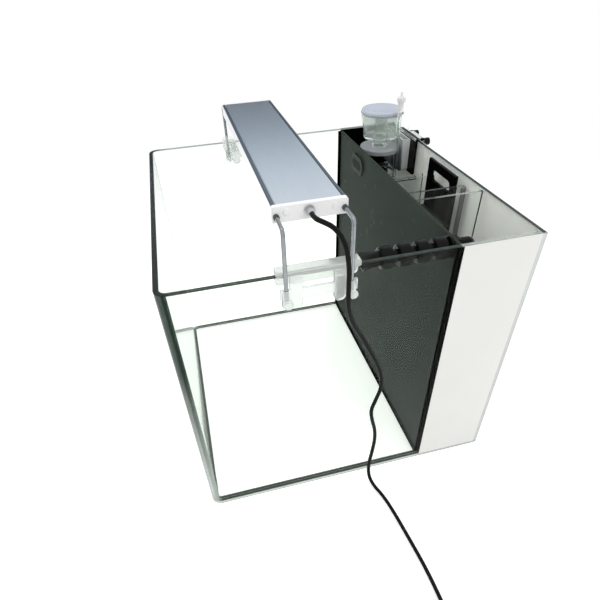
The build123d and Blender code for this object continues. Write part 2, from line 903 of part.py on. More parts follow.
def skimmer_bracket():
    """The clear shelf round the skimmer, with the hook over the rear rim."""
    z1 = bracket_z + bracket_thickness
    shelf = block(bracket_x0, bracket_x1, bracket_front, inner_back, bracket_z, z1)
    shelf = fillet(shelf.edges().filter_by(Axis.Z).group_by(Axis.Y)[0], bracket_corner)
    shelf = shelf - rod_z(skimmer_x, skimmer_y, bracket_z - 1, z1 + 1,
                          skimmer_radius + bracket_fit)
    shelf = shelf - rod_z(air_x, air_y, bracket_z - 1, z1 + 1, air_tube_radius + bracket_fit)
    outer = half_length + hook_outer_gap
    back = block(hook_x0, hook_x1, inner_back - hook_thickness, inner_back, z1, tank_height)
    bridge = block(hook_x0, hook_x1, inner_back - hook_thickness, outer + hook_thickness,
                   tank_height, tank_height + hook_thickness)
    leg = block(hook_x0, hook_x1, outer, outer + hook_thickness,
                tank_height - hook_drop, tank_height)
    hook = back + bridge + leg
    for x in screw_xs:
        hook = hook - rod_y(x, outer - 1, outer + hook_thickness + 1, screw_z,
                            screw_radius + running_gap)
    return shelf + hook


def bracket_screw(x):
    """A black thumbscrew that clamps the hook on the rear pane."""
    tip = half_length + film + screw_tip_gap
    head = half_length + hook_outer_gap + hook_thickness + screw_neck
    screw = rod_y(x, tip, head, screw_z, screw_radius)
    knob = rod_y(x, head, head + screw_head_length, screw_z, screw_head_radius)
    reach = screw_head_radius + screw_flute_offset
    for i in range(screw_flutes):
        angle = 2 * pi * i / screw_flutes
        knob = knob - rod_y(x + reach * cos(angle), head - 1, head + screw_head_length + 1,
                            screw_z + reach * sin(angle), screw_flute_radius)
    return screw + knob


def splash_guard():
    """The smoked splash guard: an open-topped rounded tray behind the skimmer."""
    z0 = bracket_z + bracket_thickness
    z1 = tank_height - guard_drop
    wall = guard_wall
    shell = block(guard_x0, guard_x1, guard_front, guard_back, z0, z1)
    lower = shell.edges().filter_by(Axis.Y).group_by(Axis.Z)[0]
    shell = fillet(lower, guard_corner)
    hollow = block(guard_x0 + wall, guard_x1 - wall, guard_front + wall, guard_back - wall,
                   z0 + wall, z1 + 1)
    hollow = fillet(hollow.edges().filter_by(Axis.Y).group_by(Axis.Z)[0], guard_corner - wall)
    return shell - hollow


def bar_profile():
    """The light bar's outline across its length, round at the top edges."""
    section = Plane(origin=(0, bar_y, bar_bottom), x_dir=(0, 1, 0), z_dir=(1, 0, 0))
    outline = Pos(0, bar_height / 2) * Rectangle(bar_width, bar_height)
    outline = fillet(outline.vertices().group_by(Axis.Y)[-1], bar_edge)
    return section * outline


def light_housing():
    """The aluminium extrusion: a channel open below, with two grooves along its top."""
    length = bar_length - 2 * cap_thickness
    x0, x1 = -length / 2, length / 2
    body = Pos(x0, 0, 0) * extrude(bar_profile(), length)
    inner = bar_width / 2 - bar_wall
    lip = bar_bottom + lens_lip_height
    body = body - block(x0 - 1, x1 + 1, bar_y - inner, bar_y + inner, lip,
                        bar_bottom + bar_height - bar_roof)
    mouth = inner - lens_lip
    body = body - block(x0 - 1, x1 + 1, bar_y - mouth, bar_y + mouth, bar_bottom - 1, lip + 1)
    top = bar_bottom + bar_height
    for side in (-1, 1):
        y = bar_y + side * (bar_width / 2 - groove_inset)
        body = body - block(x0 - 1, x1 + 1, y - groove_width / 2, y + groove_width / 2,
                            top - groove_depth, top + 1)
    return body


def leg_ys():
    """The Y of the two legs on each end of the bar."""
    return bar_y - leg_offset, bar_y + leg_offset


def end_cap(side):
    """One moulded end cap, with its holes for the legs, the screws and the gland."""
    half = bar_length / 2
    cap = Pos(half - cap_thickness, 0, 0) * extrude(bar_profile(), cap_thickness)
    for y in leg_ys():
        cap = cap - rod_x(half - leg_seat, half + 1, y, leg_z, leg_radius + cap_fit)
    for y in (bar_y - cap_screw_offset, bar_y + cap_screw_offset):
        cap = cap - rod_x(half - cap_thickness - 1, half + 1, y, cap_screw_z,
                          cap_screw_radius + cap_fit)
    if side > 0:
        return cap - rod_x(half - cap_thickness - 1, half + 1, gland_y, gland_z, gland_thread)
    return mirror(cap, Plane.YZ)


def end_caps():
    """Both end caps."""
    return Compound(children=[end_cap(-1).solid(), end_cap(1).solid()])


def end_cap_screws():
    """Four pan-head screws that hold the caps on the extrusion."""
    half = bar_length / 2
    screws = []
    for side in (-1, 1):
        for y in (bar_y - cap_screw_offset, bar_y + cap_screw_offset):
            a = side * (half - cap_thickness)
            b = side * half
            c = side * (half + cap_screw_head_height)
            stem = rod_x(min(a, b), max(a, b), y, cap_screw_z, cap_screw_radius)
            screws.append((stem + rod_x(min(b, c), max(b, c), y, cap_screw_z,
                                        cap_screw_head)).solid())
    return Compound(children=screws)


def light_lens():
    """The clear cover that closes the channel, resting on its two lips."""
    half = bar_length / 2 - cap_thickness
    inner = bar_width / 2 - bar_wall - lens_fit
    z0 = bar_bottom + lens_lip_height
    return block(-half, half, bar_y - inner, bar_y + inner, z0, z0 + lens_thickness)


def led_board():
    """The circuit board under the extrusion's roof."""
    half = bar_length / 2 - cap_thickness - board_end_gap
    z1 = bar_bottom + bar_height - bar_roof
    return block(-half, half, bar_y - board_width / 2, bar_y + board_width / 2,
                 z1 - board_thickness, z1)


def leds():
    """The rows of lamps under the board."""
    z1 = bar_bottom + bar_height - bar_roof - board_thickness
    pitch = (bar_length - 2 * cap_thickness - 2 * led_end_margin) / led_columns
    lamps = []
    for i in range(led_columns):
        for j in range(led_rows):
            x = (i - (led_columns - 1) / 2) * pitch
            y = bar_y + (j - (led_rows - 1) / 2) * led_row_spacing
            lamps.append(block(x - led_size / 2, x + led_size / 2, y - led_size / 2,
                               y + led_size / 2, z1 - led_height, z1))
    return Compound(children=lamps)


def cable_gland():
    """The gland on the near cap: thread, metal ring, dome and tapered strain relief."""
    half = bar_length / 2
    ring_end = half + gland_ring_length
    dome_end = ring_end + gland_dome_length
    gland = rod_x(half - cap_thickness, half, gland_y, gland_z, gland_thread)
    gland = gland + rod_x(half, ring_end, gland_y, gland_z, gland_ring)
    gland = gland + rod_x(ring_end, dome_end, gland_y, gland_z, gland_dome)
    tip = Cone(gland_dome, cord_radius + gland_tip_margin, gland_tip_length)
    return gland + Pos(dome_end + gland_tip_length / 2, gland_y, gland_z) * Rot(0, 90, 0) * tip


def leg_rod(side, y):
    """One bent rod: out of the cap, then straight down into its sleeve."""
    start = side * (bar_length / 2 - leg_seat)
    x = side * (half_width + leg_stand_off)
    path = FilletPolyline((start, y, leg_z), (x, y, leg_z), (x, y, leg_foot_z), radius=leg_bend)
    return sweep(Plane(origin=path @ 0, z_dir=path % 0) * Circle(leg_radius), path=path)


def leg_rods():
    """The four chromed legs."""
    rods = [leg_rod(side, y).solid() for side in (-1, 1) for y in leg_ys()]
    return Compound(children=rods)


def drop_sleeve(x, y):
    """A sleeve like a hanging drop: a round bulb, and a taper that is tangent to it."""
    bulb_z = sleeve_bottom + sleeve_bulb_radius
    rise = sleeve_top - bulb_z
    slope = atan2(rise, sleeve_head_radius)
    slope -= acos(sleeve_bulb_radius / hypot(rise, sleeve_head_radius))
    taper = cone_z(x, y, bulb_z + sleeve_bulb_radius * sin(slope), sleeve_top,
                   sleeve_bulb_radius * cos(slope), sleeve_head_radius)
    return Pos(x, y, bulb_z) * Sphere(sleeve_bulb_radius) + taper


def rim_saddle(side):
    """A clear moulded saddle that straddles one side rim and carries two leg sleeves."""
    inner_x = inner_half - saddle_gap
    outer_x = half_width + saddle_gap
    leg_x = half_width + leg_stand_off
    top = tank_height + saddle_gap + saddle_top
    under = tank_height + saddle_gap
    outer_end = outer_x + saddle_outer_wall
    saddle = block(inner_x - saddle_inner_wall, outer_end, saddle_y0, saddle_y1, under, top)
    lip = block(inner_x - saddle_inner_wall, inner_x, saddle_y0, saddle_y1,
                tank_height - saddle_inner_drop, under)
    lip = fillet(lip.edges().filter_by(Axis.X).group_by(Axis.Z)[0], saddle_inner_round)
    saddle = saddle + lip
    for y in leg_ys():
        toward = 1 if y < bar_y else -1
        tongue_y = y + toward * tongue_offset
        tongue = block(outer_x, outer_end, tongue_y - tongue_width / 2,
                       tongue_y + tongue_width / 2, tongue_bottom, under)
        tongue = fillet(tongue.edges().filter_by(Axis.X).group_by(Axis.Z)[0], tongue_round)
        saddle = saddle + tongue
    saddle = saddle + block(outer_x, outer_end, saddle_y0 + cross_inset, saddle_y1 - cross_inset,
                            cross_bottom, cross_top)
    for y in leg_ys():
        saddle = saddle + drop_sleeve(leg_x, y)
    for y in leg_ys():
        saddle = saddle - rod_z(leg_x, y, sleeve_bottom - 1, top + 1, leg_radius + sleeve_gap)
        saddle = saddle - rod_x(leg_x, leg_x + sleeve_bulb_radius + 1, y, lock_z,
                                lock_stem + running_gap)
    saddle = saddle - block(outer_x - 2, outer_x, saddle_y0, saddle_y1, sleeve_bottom - 1, under)
    return saddle if side > 0 else mirror(saddle, Plane.YZ)


def lock_knob(side, y):
    """A small clear thumb knob whose screw locks a rod in its sleeve."""
    leg_x = half_width + leg_stand_off
    tip = leg_x + leg_radius + loose_gap
    head = leg_x + sleeve_bulb_radius + loose_gap
    knob = rod_x(head, head + lock_head_width, y, lock_z, lock_head_radius)
    reach = lock_head_radius + lock_flute_offset
    for i in range(lock_lobes):
        angle = 2 * pi * i / lock_lobes
        knob = knob - rod_x(head - 1, head + lock_head_width + 1, y + reach * cos(angle),
                            lock_z + reach * sin(angle), lock_flute_radius)
    knob = knob + rod_x(tip, head, y, lock_z, lock_stem)
    return knob if side > 0 else mirror(knob, Plane.YZ)


def route_radii(route):
    """The arc at each corner: 0.45 of the shorter run over the tangent of half the turn."""
    radii = []
    for a, b, c in zip(route, route[1:], route[2:]):
        before = Vector(*b) - Vector(*a)
        after = Vector(*c) - Vector(*b)
        half_turn = radians(before.get_angle(after)) / 2
        radii.append(0.45 * min(before.length, after.length) / tan(half_turn))
    return radii


def swept_tube(path, radius):
    """A round bar along a path, checked against its section times its length."""
    section = Plane(origin=path @ 0, z_dir=path % 0) * Circle(radius)
    tube = sweep(section, path=path)
    ratio = tube.volume / (pi * radius ** 2 * path.length)
    print(f"tube length {path.length:.1f} volume ratio {ratio:.4f}")
    return tube


def power_cord():
    """The cord from the gland, down outside the near wall and away over the floor."""
    radii = route_radii(cord_route)
    print("cord radii", " ".join(f"{r:.0f}" for r in radii))
    return swept_tube(FilletPolyline(*cord_route, radius=radii), cord_radius)


def half_turn(x, y, z, radius, heading):
    """A flat half turn from (x, y), which leaves along X by heading and ends across."""
    return ThreePointArc((x, y, z), (x + heading * radius, y - heading * radius, z),
                         (x, y - 2 * heading * radius, z))


def coil_path():
    """Two layers of turns: in along the ground, up in one half turn, and out again."""
    x0, y, z = cord_route[-1]
    x = x0 + coil_lead_in
    step = coil_pitch / 2
    edges = [Line((x0, y, z), (x, y, z))]
    heading = 1
    radius = coil_start_radius
    for _ in range(coil_half_turns_in):
        edges.append(half_turn(x, y, z, radius, heading))
        y -= 2 * heading * radius
        heading = -heading
        radius -= step
    climb = radius
    rise = coil_pitch
    slant = sqrt(climb ** 2 + (rise / 2) ** 2)
    middle = (x + heading * slant, y - heading * climb, z + rise / 2)
    end_y = y - 2 * heading * climb
    edges.append(ThreePointArc((x, y, z), middle, (x, end_y, z + rise)))
    y, z = end_y, z + rise
    heading = -heading
    for _ in range(coil_half_turns_out):
        radius += step
        edges.append(half_turn(x, y, z, radius, heading))
        y -= 2 * heading * radius
        heading = -heading
    edges.append(Line((x, y, z), (x + coil_tail, y, z)))
    return Wire(edges), (x + coil_tail, y, z)


def least_gap(path, radius):
    """The least gap between turns, measured on points along the path."""
    count = int(path.length / 2)
    points = [path @ (i / count) for i in range(count + 1)]
    skip = int(8 * radius / 2) + 1
    least = path.length
    for i, p in enumerate(points):
        for q in points[i + skip:]:
            least = min(least, (p - q).length)
    return least - 2 * radius


def power_cord_coil():
    """The rest of the cord, wound in a neat coil for storage."""
    path, _ = coil_path()
    print(f"coil least gap {least_gap(path, cord_radius):.2f}")
    return swept_tube(path, cord_radius)


def power_connector():
    """The round in-line connector on the cord's end, lying on the ground."""
    _, (x, y, z) = coil_path()
    relief = Pos(x + connector_relief / 2, y, z) * Rot(0, 90, 0)
    plug = relief * Cone(cord_radius + connector_relief_margin, connector_relief_head,
                         connector_relief)
    x += connector_relief
    shell = rod_x(x, x + connector_body, y, z, connector_radius)
    shell = fillet(shell.edges().filter_by(GeomType.CIRCLE), connector_round)
    start = x + connector_flute_start
    reach = connector_radius + connector_flute_offset
    for i in range(connector_flutes):
        angle = 2 * pi * (i + 0.5) / connector_flutes
        shell = shell - rod_x(start, start + connector_flute_length, y + reach * cos(angle),
                              z + reach * sin(angle), connector_flute_radius)
    end = x + connector_body
    floor = end - connector_mouth_depth
    shell = shell - rod_x(floor, end + 1, y, z, connector_mouth_radius)
    for side in (-1, 1):
        shell = shell + rod_x(floor - connector_pin_seat, end - connector_pin_inset,
                              y + side * connector_pin_offset, z, connector_pin_radius)
    return plug + shell


save("base_pane", base_pane())
save("bent_wall", bent_wall())
save("rear_pane", rear_pane())
save("partition", partition())
save("silicone_beads", silicone_beads())
save("side_films", side_films())
save("film_backings", film_backings())
save("rear_film", rear_film())
save("far_divider", chamber_wall(far_divider_x, glass + underflow, far_divider_top))
save("cartridge_wall_far", chamber_wall(far_wall_x, glass, far_wall_top))
save("cartridge_wall_near", chamber_wall(near_wall_x, glass + underflow, near_wall_top))
save("near_divider", chamber_wall(near_divider_x, glass, near_divider_top))
save("guide_bar", guide_bar())
save("overflow_strainer", overflow_strainer())
save("cartridge_plate", cartridge_plate())
save("filter_sponge", filter_sponge())
save("hose_elbow", hose_elbow())
save("bulkhead_nut", bulkhead_nut())
for number in range(1, hose_links + 1):
    save(f"hose_link_{number}", hose_link(number))
save("return_nozzle", return_nozzle())
save("pump_body", pump_body())
save("pump_cover", pump_cover())
save("pump_shaft", pump_shaft())
save("pump_rotor", pump_rotor())
save("pump_feet", pump_feet())
save("pump_riser", pump_riser())
save("skimmer_body", skimmer_body())
save("skimmer_collar", skimmer_collar())
save("skimmer_cup", skimmer_cup())
save("skimmer_lid", skimmer_lid())
save("skimmer_air_tube", skimmer_air_tube())
save("air_valve_body", air_valve_body())
save("air_valve_knob", air_valve_knob())
save("skimmer_pump", skimmer_pump())
save("skimmer_impeller", skimmer_impeller())
save("skimmer_bracket", skimmer_bracket())
save("bracket_screw_far", bracket_screw(screw_xs[0]))
save("bracket_screw_near", bracket_screw(screw_xs[1]))
save("splash_guard", splash_guard())
save("light_housing", light_housing())
save("end_caps", end_caps())
save("end_cap_screws", end_cap_screws())
save("light_lens", light_lens())
save("led_board", led_board())
save("leds", leds())
save("cable_gland", cable_gland())
save("leg_rods", leg_rods())
save("near_saddle", rim_saddle(1))
save("far_saddle", rim_saddle(-1))
for side_name, side_sign in (("near", 1), ("far", -1)):
    for place, leg_y in zip(("front", "back"), leg_ys()):
        save(f"lock_knob_{side_name}_{place}", lock_knob(side_sign, leg_y))
save("power_cord", power_cord())
save("power_cord_coil", power_cord_coil())
save("power_connector", power_connector())
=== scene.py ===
from math import cos, pi, radians, sin, tan

import bmesh
import bpy
from mathutils import Matrix, Vector


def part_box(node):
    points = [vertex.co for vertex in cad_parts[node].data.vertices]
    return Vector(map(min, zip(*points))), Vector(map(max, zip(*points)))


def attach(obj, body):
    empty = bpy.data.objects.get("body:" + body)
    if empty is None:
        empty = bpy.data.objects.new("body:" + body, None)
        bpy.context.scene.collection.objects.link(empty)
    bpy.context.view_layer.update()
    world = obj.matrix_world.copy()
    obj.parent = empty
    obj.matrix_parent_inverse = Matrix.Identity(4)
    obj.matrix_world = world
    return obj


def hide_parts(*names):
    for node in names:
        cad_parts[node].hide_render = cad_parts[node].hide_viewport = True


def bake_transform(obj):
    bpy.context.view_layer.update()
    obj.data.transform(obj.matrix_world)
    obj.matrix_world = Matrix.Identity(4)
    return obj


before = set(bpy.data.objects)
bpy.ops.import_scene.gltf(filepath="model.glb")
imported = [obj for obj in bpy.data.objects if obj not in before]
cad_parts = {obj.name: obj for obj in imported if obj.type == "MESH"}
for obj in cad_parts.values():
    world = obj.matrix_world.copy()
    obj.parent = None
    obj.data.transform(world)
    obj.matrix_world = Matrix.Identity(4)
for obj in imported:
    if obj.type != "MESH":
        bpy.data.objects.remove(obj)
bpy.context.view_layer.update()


# Camera
# It stands beyond the near side wall and looks down over the light bar, with a little
# of the bent front on the left. The lens axis meets the picture below its middle.
camera_place = Vector((0.58917, -0.15561, 0.62127))
camera_right = Vector((0.24646, 0.96862, -0.03231))
camera_up = Vector((-0.62903, 0.18523, 0.75499))
picture_width = 600
focal_length_pixels = 466.03
axis_row = 340
sensor_width = 36.0

camera_data = bpy.data.cameras.new("camera")
camera_data.sensor_width = sensor_width
camera_data.lens = focal_length_pixels * sensor_width / picture_width
camera_data.shift_y = (axis_row - picture_width / 2) / picture_width
camera = bpy.data.objects.new("camera", camera_data)
bpy.context.scene.collection.objects.link(camera)
camera_back = camera_right.cross(camera_up)
turned = Matrix((camera_right, camera_up, camera_back)).transposed()
camera.matrix_world = Matrix.Translation(camera_place) @ turned.to_4x4()
bpy.context.scene.camera = camera


# Light's power cord
# A limp two-core cord in a black rubber jacket, 5 mm thick. It leaves the gland on the
# near cap, falls outside the near wall and runs over the floor to its two-layer coil.
cord_diameter = 0.005
cord_sides = 14
cord_route = [
    (0.198, -0.051, 0.425),
    (0.207, -0.051, 0.425),
    (0.216, -0.0465, 0.4255),
    (0.223, -0.038, 0.4225),
    (0.228, -0.031, 0.4135),
    (0.2305, -0.027, 0.401),
    (0.2315, -0.0245, 0.385),
    (0.2315, -0.024, 0.365),
    (0.230, -0.0235, 0.344),
    (0.227, -0.0205, 0.323),
    (0.223, -0.0125, 0.300),
    (0.2205, -0.003, 0.283),
    (0.219, 0.008, 0.260),
    (0.218, 0.020, 0.234),
    (0.2175, 0.029, 0.210),
    (0.2175, 0.031, 0.187),
    (0.218, 0.0245, 0.165),
    (0.218, 0.019, 0.146),
    (0.2185, 0.0225, 0.125),
    (0.2185, 0.028, 0.104),
    (0.219, 0.0295, 0.080),
    (0.220, 0.0265, 0.053),
    (0.223, 0.022, 0.030),
    (0.230, 0.0205, 0.012),
    (0.243, 0.0245, 0.0032),
    (0.259, 0.031, 0.0026),
    (0.283, 0.036, 0.0026),
    (0.325, 0.041, 0.0026),
    (0.372, 0.046, 0.0026),
    (0.412, 0.047, 0.0026),
    (0.440, 0.047, 0.0026),
]
coil_start = (0.445, 0.047, 0.0026)
coil_radius = 0.033
coil_pitch = 0.0056
coil_half_turns_in = 5
coil_half_turns_out = 6
coil_points_per_half = 6
coil_tail = 0.028


def half_turn_points(start, radius, heading, rise):
    """Control points of one half turn of the coil, just outside the turn itself."""
    step = pi / coil_points_per_half
    reach = radius / cos(step / 2)
    x, y, z = start
    points = []
    for i in range(coil_points_per_half):
        angle = step * (i + 0.5)
        points.append((x + heading * reach * sin(angle),
                       y - heading * radius + heading * reach * cos(angle),
                       z + rise * angle / pi))
    return points, (x, y - 2 * heading * radius, z + rise)


def coil_route():
    """The turns: in along the floor, up a layer in one half turn, and out again."""
    points, here = [], coil_start
    heading, radius = 1, coil_radius
    steps = [-1] * coil_half_turns_in + [0] + [1] * coil_half_turns_out
    for step in steps:
        if step > 0:
            radius += coil_pitch / 2
        rise = coil_pitch if step == 0 else 0
        turn, here = half_turn_points(here, radius, heading, rise)
        points += turn
        heading = -heading
        if step < 0:
            radius -= coil_pitch / 2
    x, y, z = here
    return points + [(x + coil_tail / 3, y, z), (x + coil_tail, y, z)]


def smooth_line(name, points):
    """Points along one smooth open spline whose control points are those given."""
    curve = bpy.data.curves.new(name, "CURVE")
    curve.dimensions = "3D"
    curve.resolution_u = 6
    spline = curve.splines.new("NURBS")
    spline.points.add(len(points) - 1)
    for control, point in zip(spline.points, points):
        control.co = (*point, 1)
    spline.order_u = 3
    spline.use_endpoint_u = True
    holder = bpy.data.objects.new(name, curve)
    bpy.context.scene.collection.objects.link(holder)
    bpy.context.view_layer.update()
    mesh = bpy.data.meshes.new_from_object(holder)
    line = [vertex.co.copy() for vertex in mesh.vertices]
    bpy.data.objects.remove(holder)
    bpy.data.curves.remove(curve)
    bpy.data.meshes.remove(mesh)
    return line


def new_piece(name, shape, body):
    """A mesh object made of a bmesh, linked and riding on its body."""
    mesh = bpy.data.meshes.new(name)
    bmesh.ops.recalc_face_normals(shape, faces=shape.faces)
    shape.to_mesh(mesh)
    shape.free()
    piece = bpy.data.objects.new(name, mesh)
    bpy.context.scene.collection.objects.link(piece)
    for face in mesh.polygons:
        face.use_smooth = True
    if body:
        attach(piece, body)
    return piece


def ring_tube(shape, rings):
    """Skin neighbouring rings of vertices, and close both ends with a face."""
    for first, second in zip(rings, rings[1:]):
        count = len(first)
        for i in range(count):
            j = (i + 1) % count
            shape.faces.new((first[i], first[j], second[j], second[i]))
    shape.faces.new(rings[0])
    shape.faces.new(rings[-1])


def jacket(line, radius, sides):
    """A round tube along a line, turned as little as it can from point to point."""
    shape = bmesh.new()
    along = (line[1] - line[0]).normalized()
    across = along.cross(Vector((0, 0, 1))).normalized()
    rings = []
    for i, point in enumerate(line):
        ahead = (line[min(i + 1, len(line) - 1)] - line[max(i - 1, 0)]).normalized()
        across = (across - ahead * across.dot(ahead)).normalized()
        up = ahead.cross(across)
        ring = []
        for side in range(sides):
            angle = 2 * pi * side / sides
            offset = across * cos(angle) * radius + up * sin(angle) * radius
            ring.append(shape.verts.new(point + offset))
        rings.append(ring)
    ring_tube(shape, rings)
    return shape


def shade(red, green, blue):
    """A colour as it looks on screen, 0 to 255, turned into the shader's linear values."""
    linear = []
    for value in (red, green, blue):
        part = value / 255
        linear.append(part / 12.92 if part <= 0.04045 else ((part + 0.055) / 1.055) ** 2.4)
    return (*linear, 1)


def start_finish(name):
    """A new material: its nodes, its links, its shader, and the place on the piece."""
    finish = bpy.data.materials.new(name)
    finish.use_nodes = True
    nodes = finish.node_tree.nodes
    place = nodes.new("ShaderNodeTexCoord").outputs["Object"]
    return finish, nodes["Principled BSDF"], place


def clouds(finish, place, patch, stretch=(1, 1, 1), detail=2.0):
    """Soft uneven patches, about patch metres across, stretched along some axes."""
    nodes, links = finish.node_tree.nodes, finish.node_tree.links
    mapping = nodes.new("ShaderNodeMapping")
    mapping.inputs["Scale"].default_value = [s / patch for s in stretch]
    links.new(place, mapping.inputs["Vector"])
    texture = nodes.new("ShaderNodeTexNoise")
    texture.inputs["Scale"].default_value = 1.0
    texture.inputs["Detail"].default_value = detail
    links.new(mapping.outputs["Vector"], texture.inputs["Vector"])
    return texture.outputs[0]


def spread(tree, value, low, high, first=0.0, last=1.0):
    """A value that runs from low to high, turned into one from first to last."""
    node = tree.nodes.new("ShaderNodeMapRange")
    node.inputs["From Min"].default_value = low
    node.inputs["From Max"].default_value = high
    node.inputs["To Min"].default_value = first
    node.inputs["To Max"].default_value = last
    tree.links.new(value, node.inputs["Value"])
    return node.outputs["Result"]


thin_cloud, thick_cloud = 0.3, 0.7


def between(finish, amount, low, high):
    """An amount of cloud turned into a value from low to high."""
    return spread(finish.node_tree, amount, thin_cloud, thick_cloud, low, high)


def feed(tree, socket, value):
    """Link a value to a socket, or write it there where it is a plain one."""
    if isinstance(value, bpy.types.NodeSocket):
        tree.links.new(value, socket)
    else:
        socket.default_value = value


mix_sockets = (0, 6, 7)
mix_result = 2


def tint(finish, amount, first, second):
    """A colour that goes from the first to the second by an amount."""
    node = finish.node_tree.nodes.new("ShaderNodeMix")
    node.data_type = "RGBA"
    for socket, value in zip(mix_sockets, (amount, first, second)):
        feed(finish.node_tree, node.inputs[socket], value)
    return node.outputs[mix_result]


def relief(finish, shader, height, depth, edge=0.0):
    """Fine relief on the surface, and edges rounded by about edge metres."""
    nodes, links = finish.node_tree.nodes, finish.node_tree.links
    bump = nodes.new("ShaderNodeBump")
    bump.inputs["Distance"].default_value = depth
    bump.inputs["Strength"].default_value = 1.0
    links.new(height, bump.inputs["Height"])
    if edge:
        rounded = nodes.new("ShaderNodeBevel")
        rounded.samples = 4
        rounded.inputs["Radius"].default_value = edge
        links.new(rounded.outputs["Normal"], bump.inputs["Normal"])
    links.new(bump.outputs["Normal"], shader.inputs["Normal"])


def solid_finish(name, low, high, gloss=(0.3, 0.4), patch=0.02, grain=0.0006, depth=0.00003,
                 edge=0.0, stretch=(1, 1, 1), **settings):
    """A moulded, cast or drawn finish: uneven colour and gloss, fine grain, soft edges."""
    finish, shader, place = start_finish(name)
    links = finish.node_tree.links
    patches = clouds(finish, place, patch, stretch)
    links.new(tint(finish, between(finish, patches, 0, 1), low, high),
              shader.inputs["Base Color"])
    fine = clouds(finish, place, grain, stretch, 3.0)
    links.new(between(finish, fine, *gloss), shader.inputs["Roughness"])
    if depth:
        relief(finish, shader, fine, depth, edge)
    for socket, value in settings.items():
        shader.inputs[socket.replace("_", " ")].default_value = value
    return finish


def dress(finish, slot, *names):
    """Give CAD pieces, by name, their finish. The slot argument is not used."""
    for name in names:
        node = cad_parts[name]
        for place in node.material_slots:
            place.material = finish


cord_rubber = solid_finish("cord rubber", shade(12, 12, 13), shade(18, 18, 19), (0.36, 0.48),
                           patch=0.03, grain=0.0009, depth=0.00001, IOR=1.2)
cord_line = smooth_line("cord line", cord_route + coil_route())
power_cord = new_piece("light_power_cord", jacket(cord_line, cord_diameter / 2, cord_sides), None)
power_cord.data.materials.append(cord_rubber)
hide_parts("power_cord", "power_cord_coil")


# Cord's connector
# The round in-line connector of a low-voltage lamp: a ribbed rubber relief moulded on
# the cord, and a black nylon shell with grip flutes and an open mouth with two pins.
connector_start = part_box("power_connector")[0][0]
connector_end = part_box("power_connector")[1][0]
connector_radius = (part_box("power_connector")[1][1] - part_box("power_connector")[0][1]) / 2
connector_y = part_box("power_connector")[0][1] + connector_radius
connector_z = (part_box("power_connector")[0][2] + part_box("power_connector")[1][2]) / 2
connector_sides = 72
relief_length = 0.014
relief_start_radius = 0.0029
relief_end_radius = 0.0055
rib_count = 5
rib_pitch = 0.0026
rib_lead = 0.0006
rib_radius = 0.0036
rib_growth = 0.0004
rib_height = 0.0005
rib_slope = 0.0003
rib_width = 0.0018
shell_round = 0.0004
shell_chamfer = 0.0012
connector_flutes = 12
flute_depth = 0.0007
flute_runout = 0.0013
flute_start = 0.0075
flute_end = 0.0205
band_end = 0.0055
groove_start = 0.0226
groove_middle = 0.0232
groove_end = 0.0240
mouth_radius = 0.006
mouth_depth = 0.008


def turned_x(name, body, profile, centre, sides, flutes=0, flute=0.0, fluted=()):
    """A piece turned about X from (x, radius) points, with flutes along some of them."""
    shape = bmesh.new()
    rings = []
    for index, (x, radius) in enumerate(profile):
        ring = []
        for side in range(sides):
            angle = 2 * pi * side / sides
            reach = radius
            if index in fluted:
                reach -= flute * max(0.0, cos(flutes * angle)) ** 2
            ring.append(shape.verts.new((x, centre[0] + reach * cos(angle),
                                         centre[1] + reach * sin(angle))))
        rings.append(ring)
    ring_tube(shape, rings)
    return new_piece(name, shape, body)


def connector_profile():
    """The connector's outline: ribs on the relief, the shell, and the mouth's inside."""
    x = connector_start
    profile = [(x, relief_start_radius)]
    for i in range(rib_count):
        radius = rib_radius + rib_growth * i
        left = x + rib_lead + i * rib_pitch
        profile += [(left, radius - rib_height), (left + rib_slope, radius),
                    (left + rib_width - rib_slope, radius),
                    (left + rib_width, radius - rib_height)]
    shell = x + relief_length
    r = connector_radius
    profile += [(shell - shell_round / 2, relief_end_radius), (shell, r - shell_chamfer),
                (shell + shell_round, r - shell_round), (shell + shell_chamfer, r),
                (shell + band_end, r), (shell + flute_start - flute_runout, r),
                (shell + flute_start, r), (shell + flute_end, r),
                (shell + flute_end + flute_runout, r), (shell + groove_start, r),
                (shell + groove_middle, r - shell_round), (shell + groove_end, r),
                (connector_end - shell_chamfer, r),
                (connector_end - shell_round, r - shell_round),
                (connector_end, r - shell_chamfer),
                (connector_end - shell_round, mouth_radius + shell_round / 2),
                (connector_end - 2.5 * shell_round, mouth_radius),
                (connector_end - mouth_depth, mouth_radius)]
    return profile


black_nylon = solid_finish("black nylon", shade(16, 16, 18), shade(24, 24, 26), (0.32, 0.45),
                           patch=0.01, grain=0.0004, depth=0.00002, IOR=1.25)
outline = connector_profile()
shell_face = connector_start + relief_length
grip = [i for i, (x, radius) in enumerate(outline) if radius > mouth_radius + shell_round
        and flute_start - rib_slope < x - shell_face < flute_end + rib_slope]
connector = turned_x("cord_connector", "carriage", outline, (connector_y, connector_z),
                     connector_sides, connector_flutes, flute_depth, grip)
connector.data.materials.append(black_nylon)
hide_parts("power_connector")

pin_brass = solid_finish("pin brass", shade(186, 152, 84), shade(204, 172, 104), (0.22, 0.34),
                         patch=0.004, grain=0.0003, depth=0.000005, Metallic=1.0)
pin_radius = 0.0009
pin_offset = 0.0025
pin_recess = 0.002
pin_root = 0.0003
pin_nose = 0.0005
pin_tip = 0.0002
pin_sides = 16
for side in (-1, 1):
    start = connector_end - mouth_depth
    stop = connector_end - pin_recess
    profile = [(start - pin_root, pin_radius), (stop - pin_nose, pin_radius),
               (stop - pin_tip, pin_radius * 0.8), (stop, pin_radius * 0.4)]
    place = (connector_y + side * pin_offset, connector_z)
    pin = turned_x("connector_pin_" + ("left" if side < 0 else "right"), "carriage", profile,
                   place, pin_sides)
    pin.data.materials.append(pin_brass)

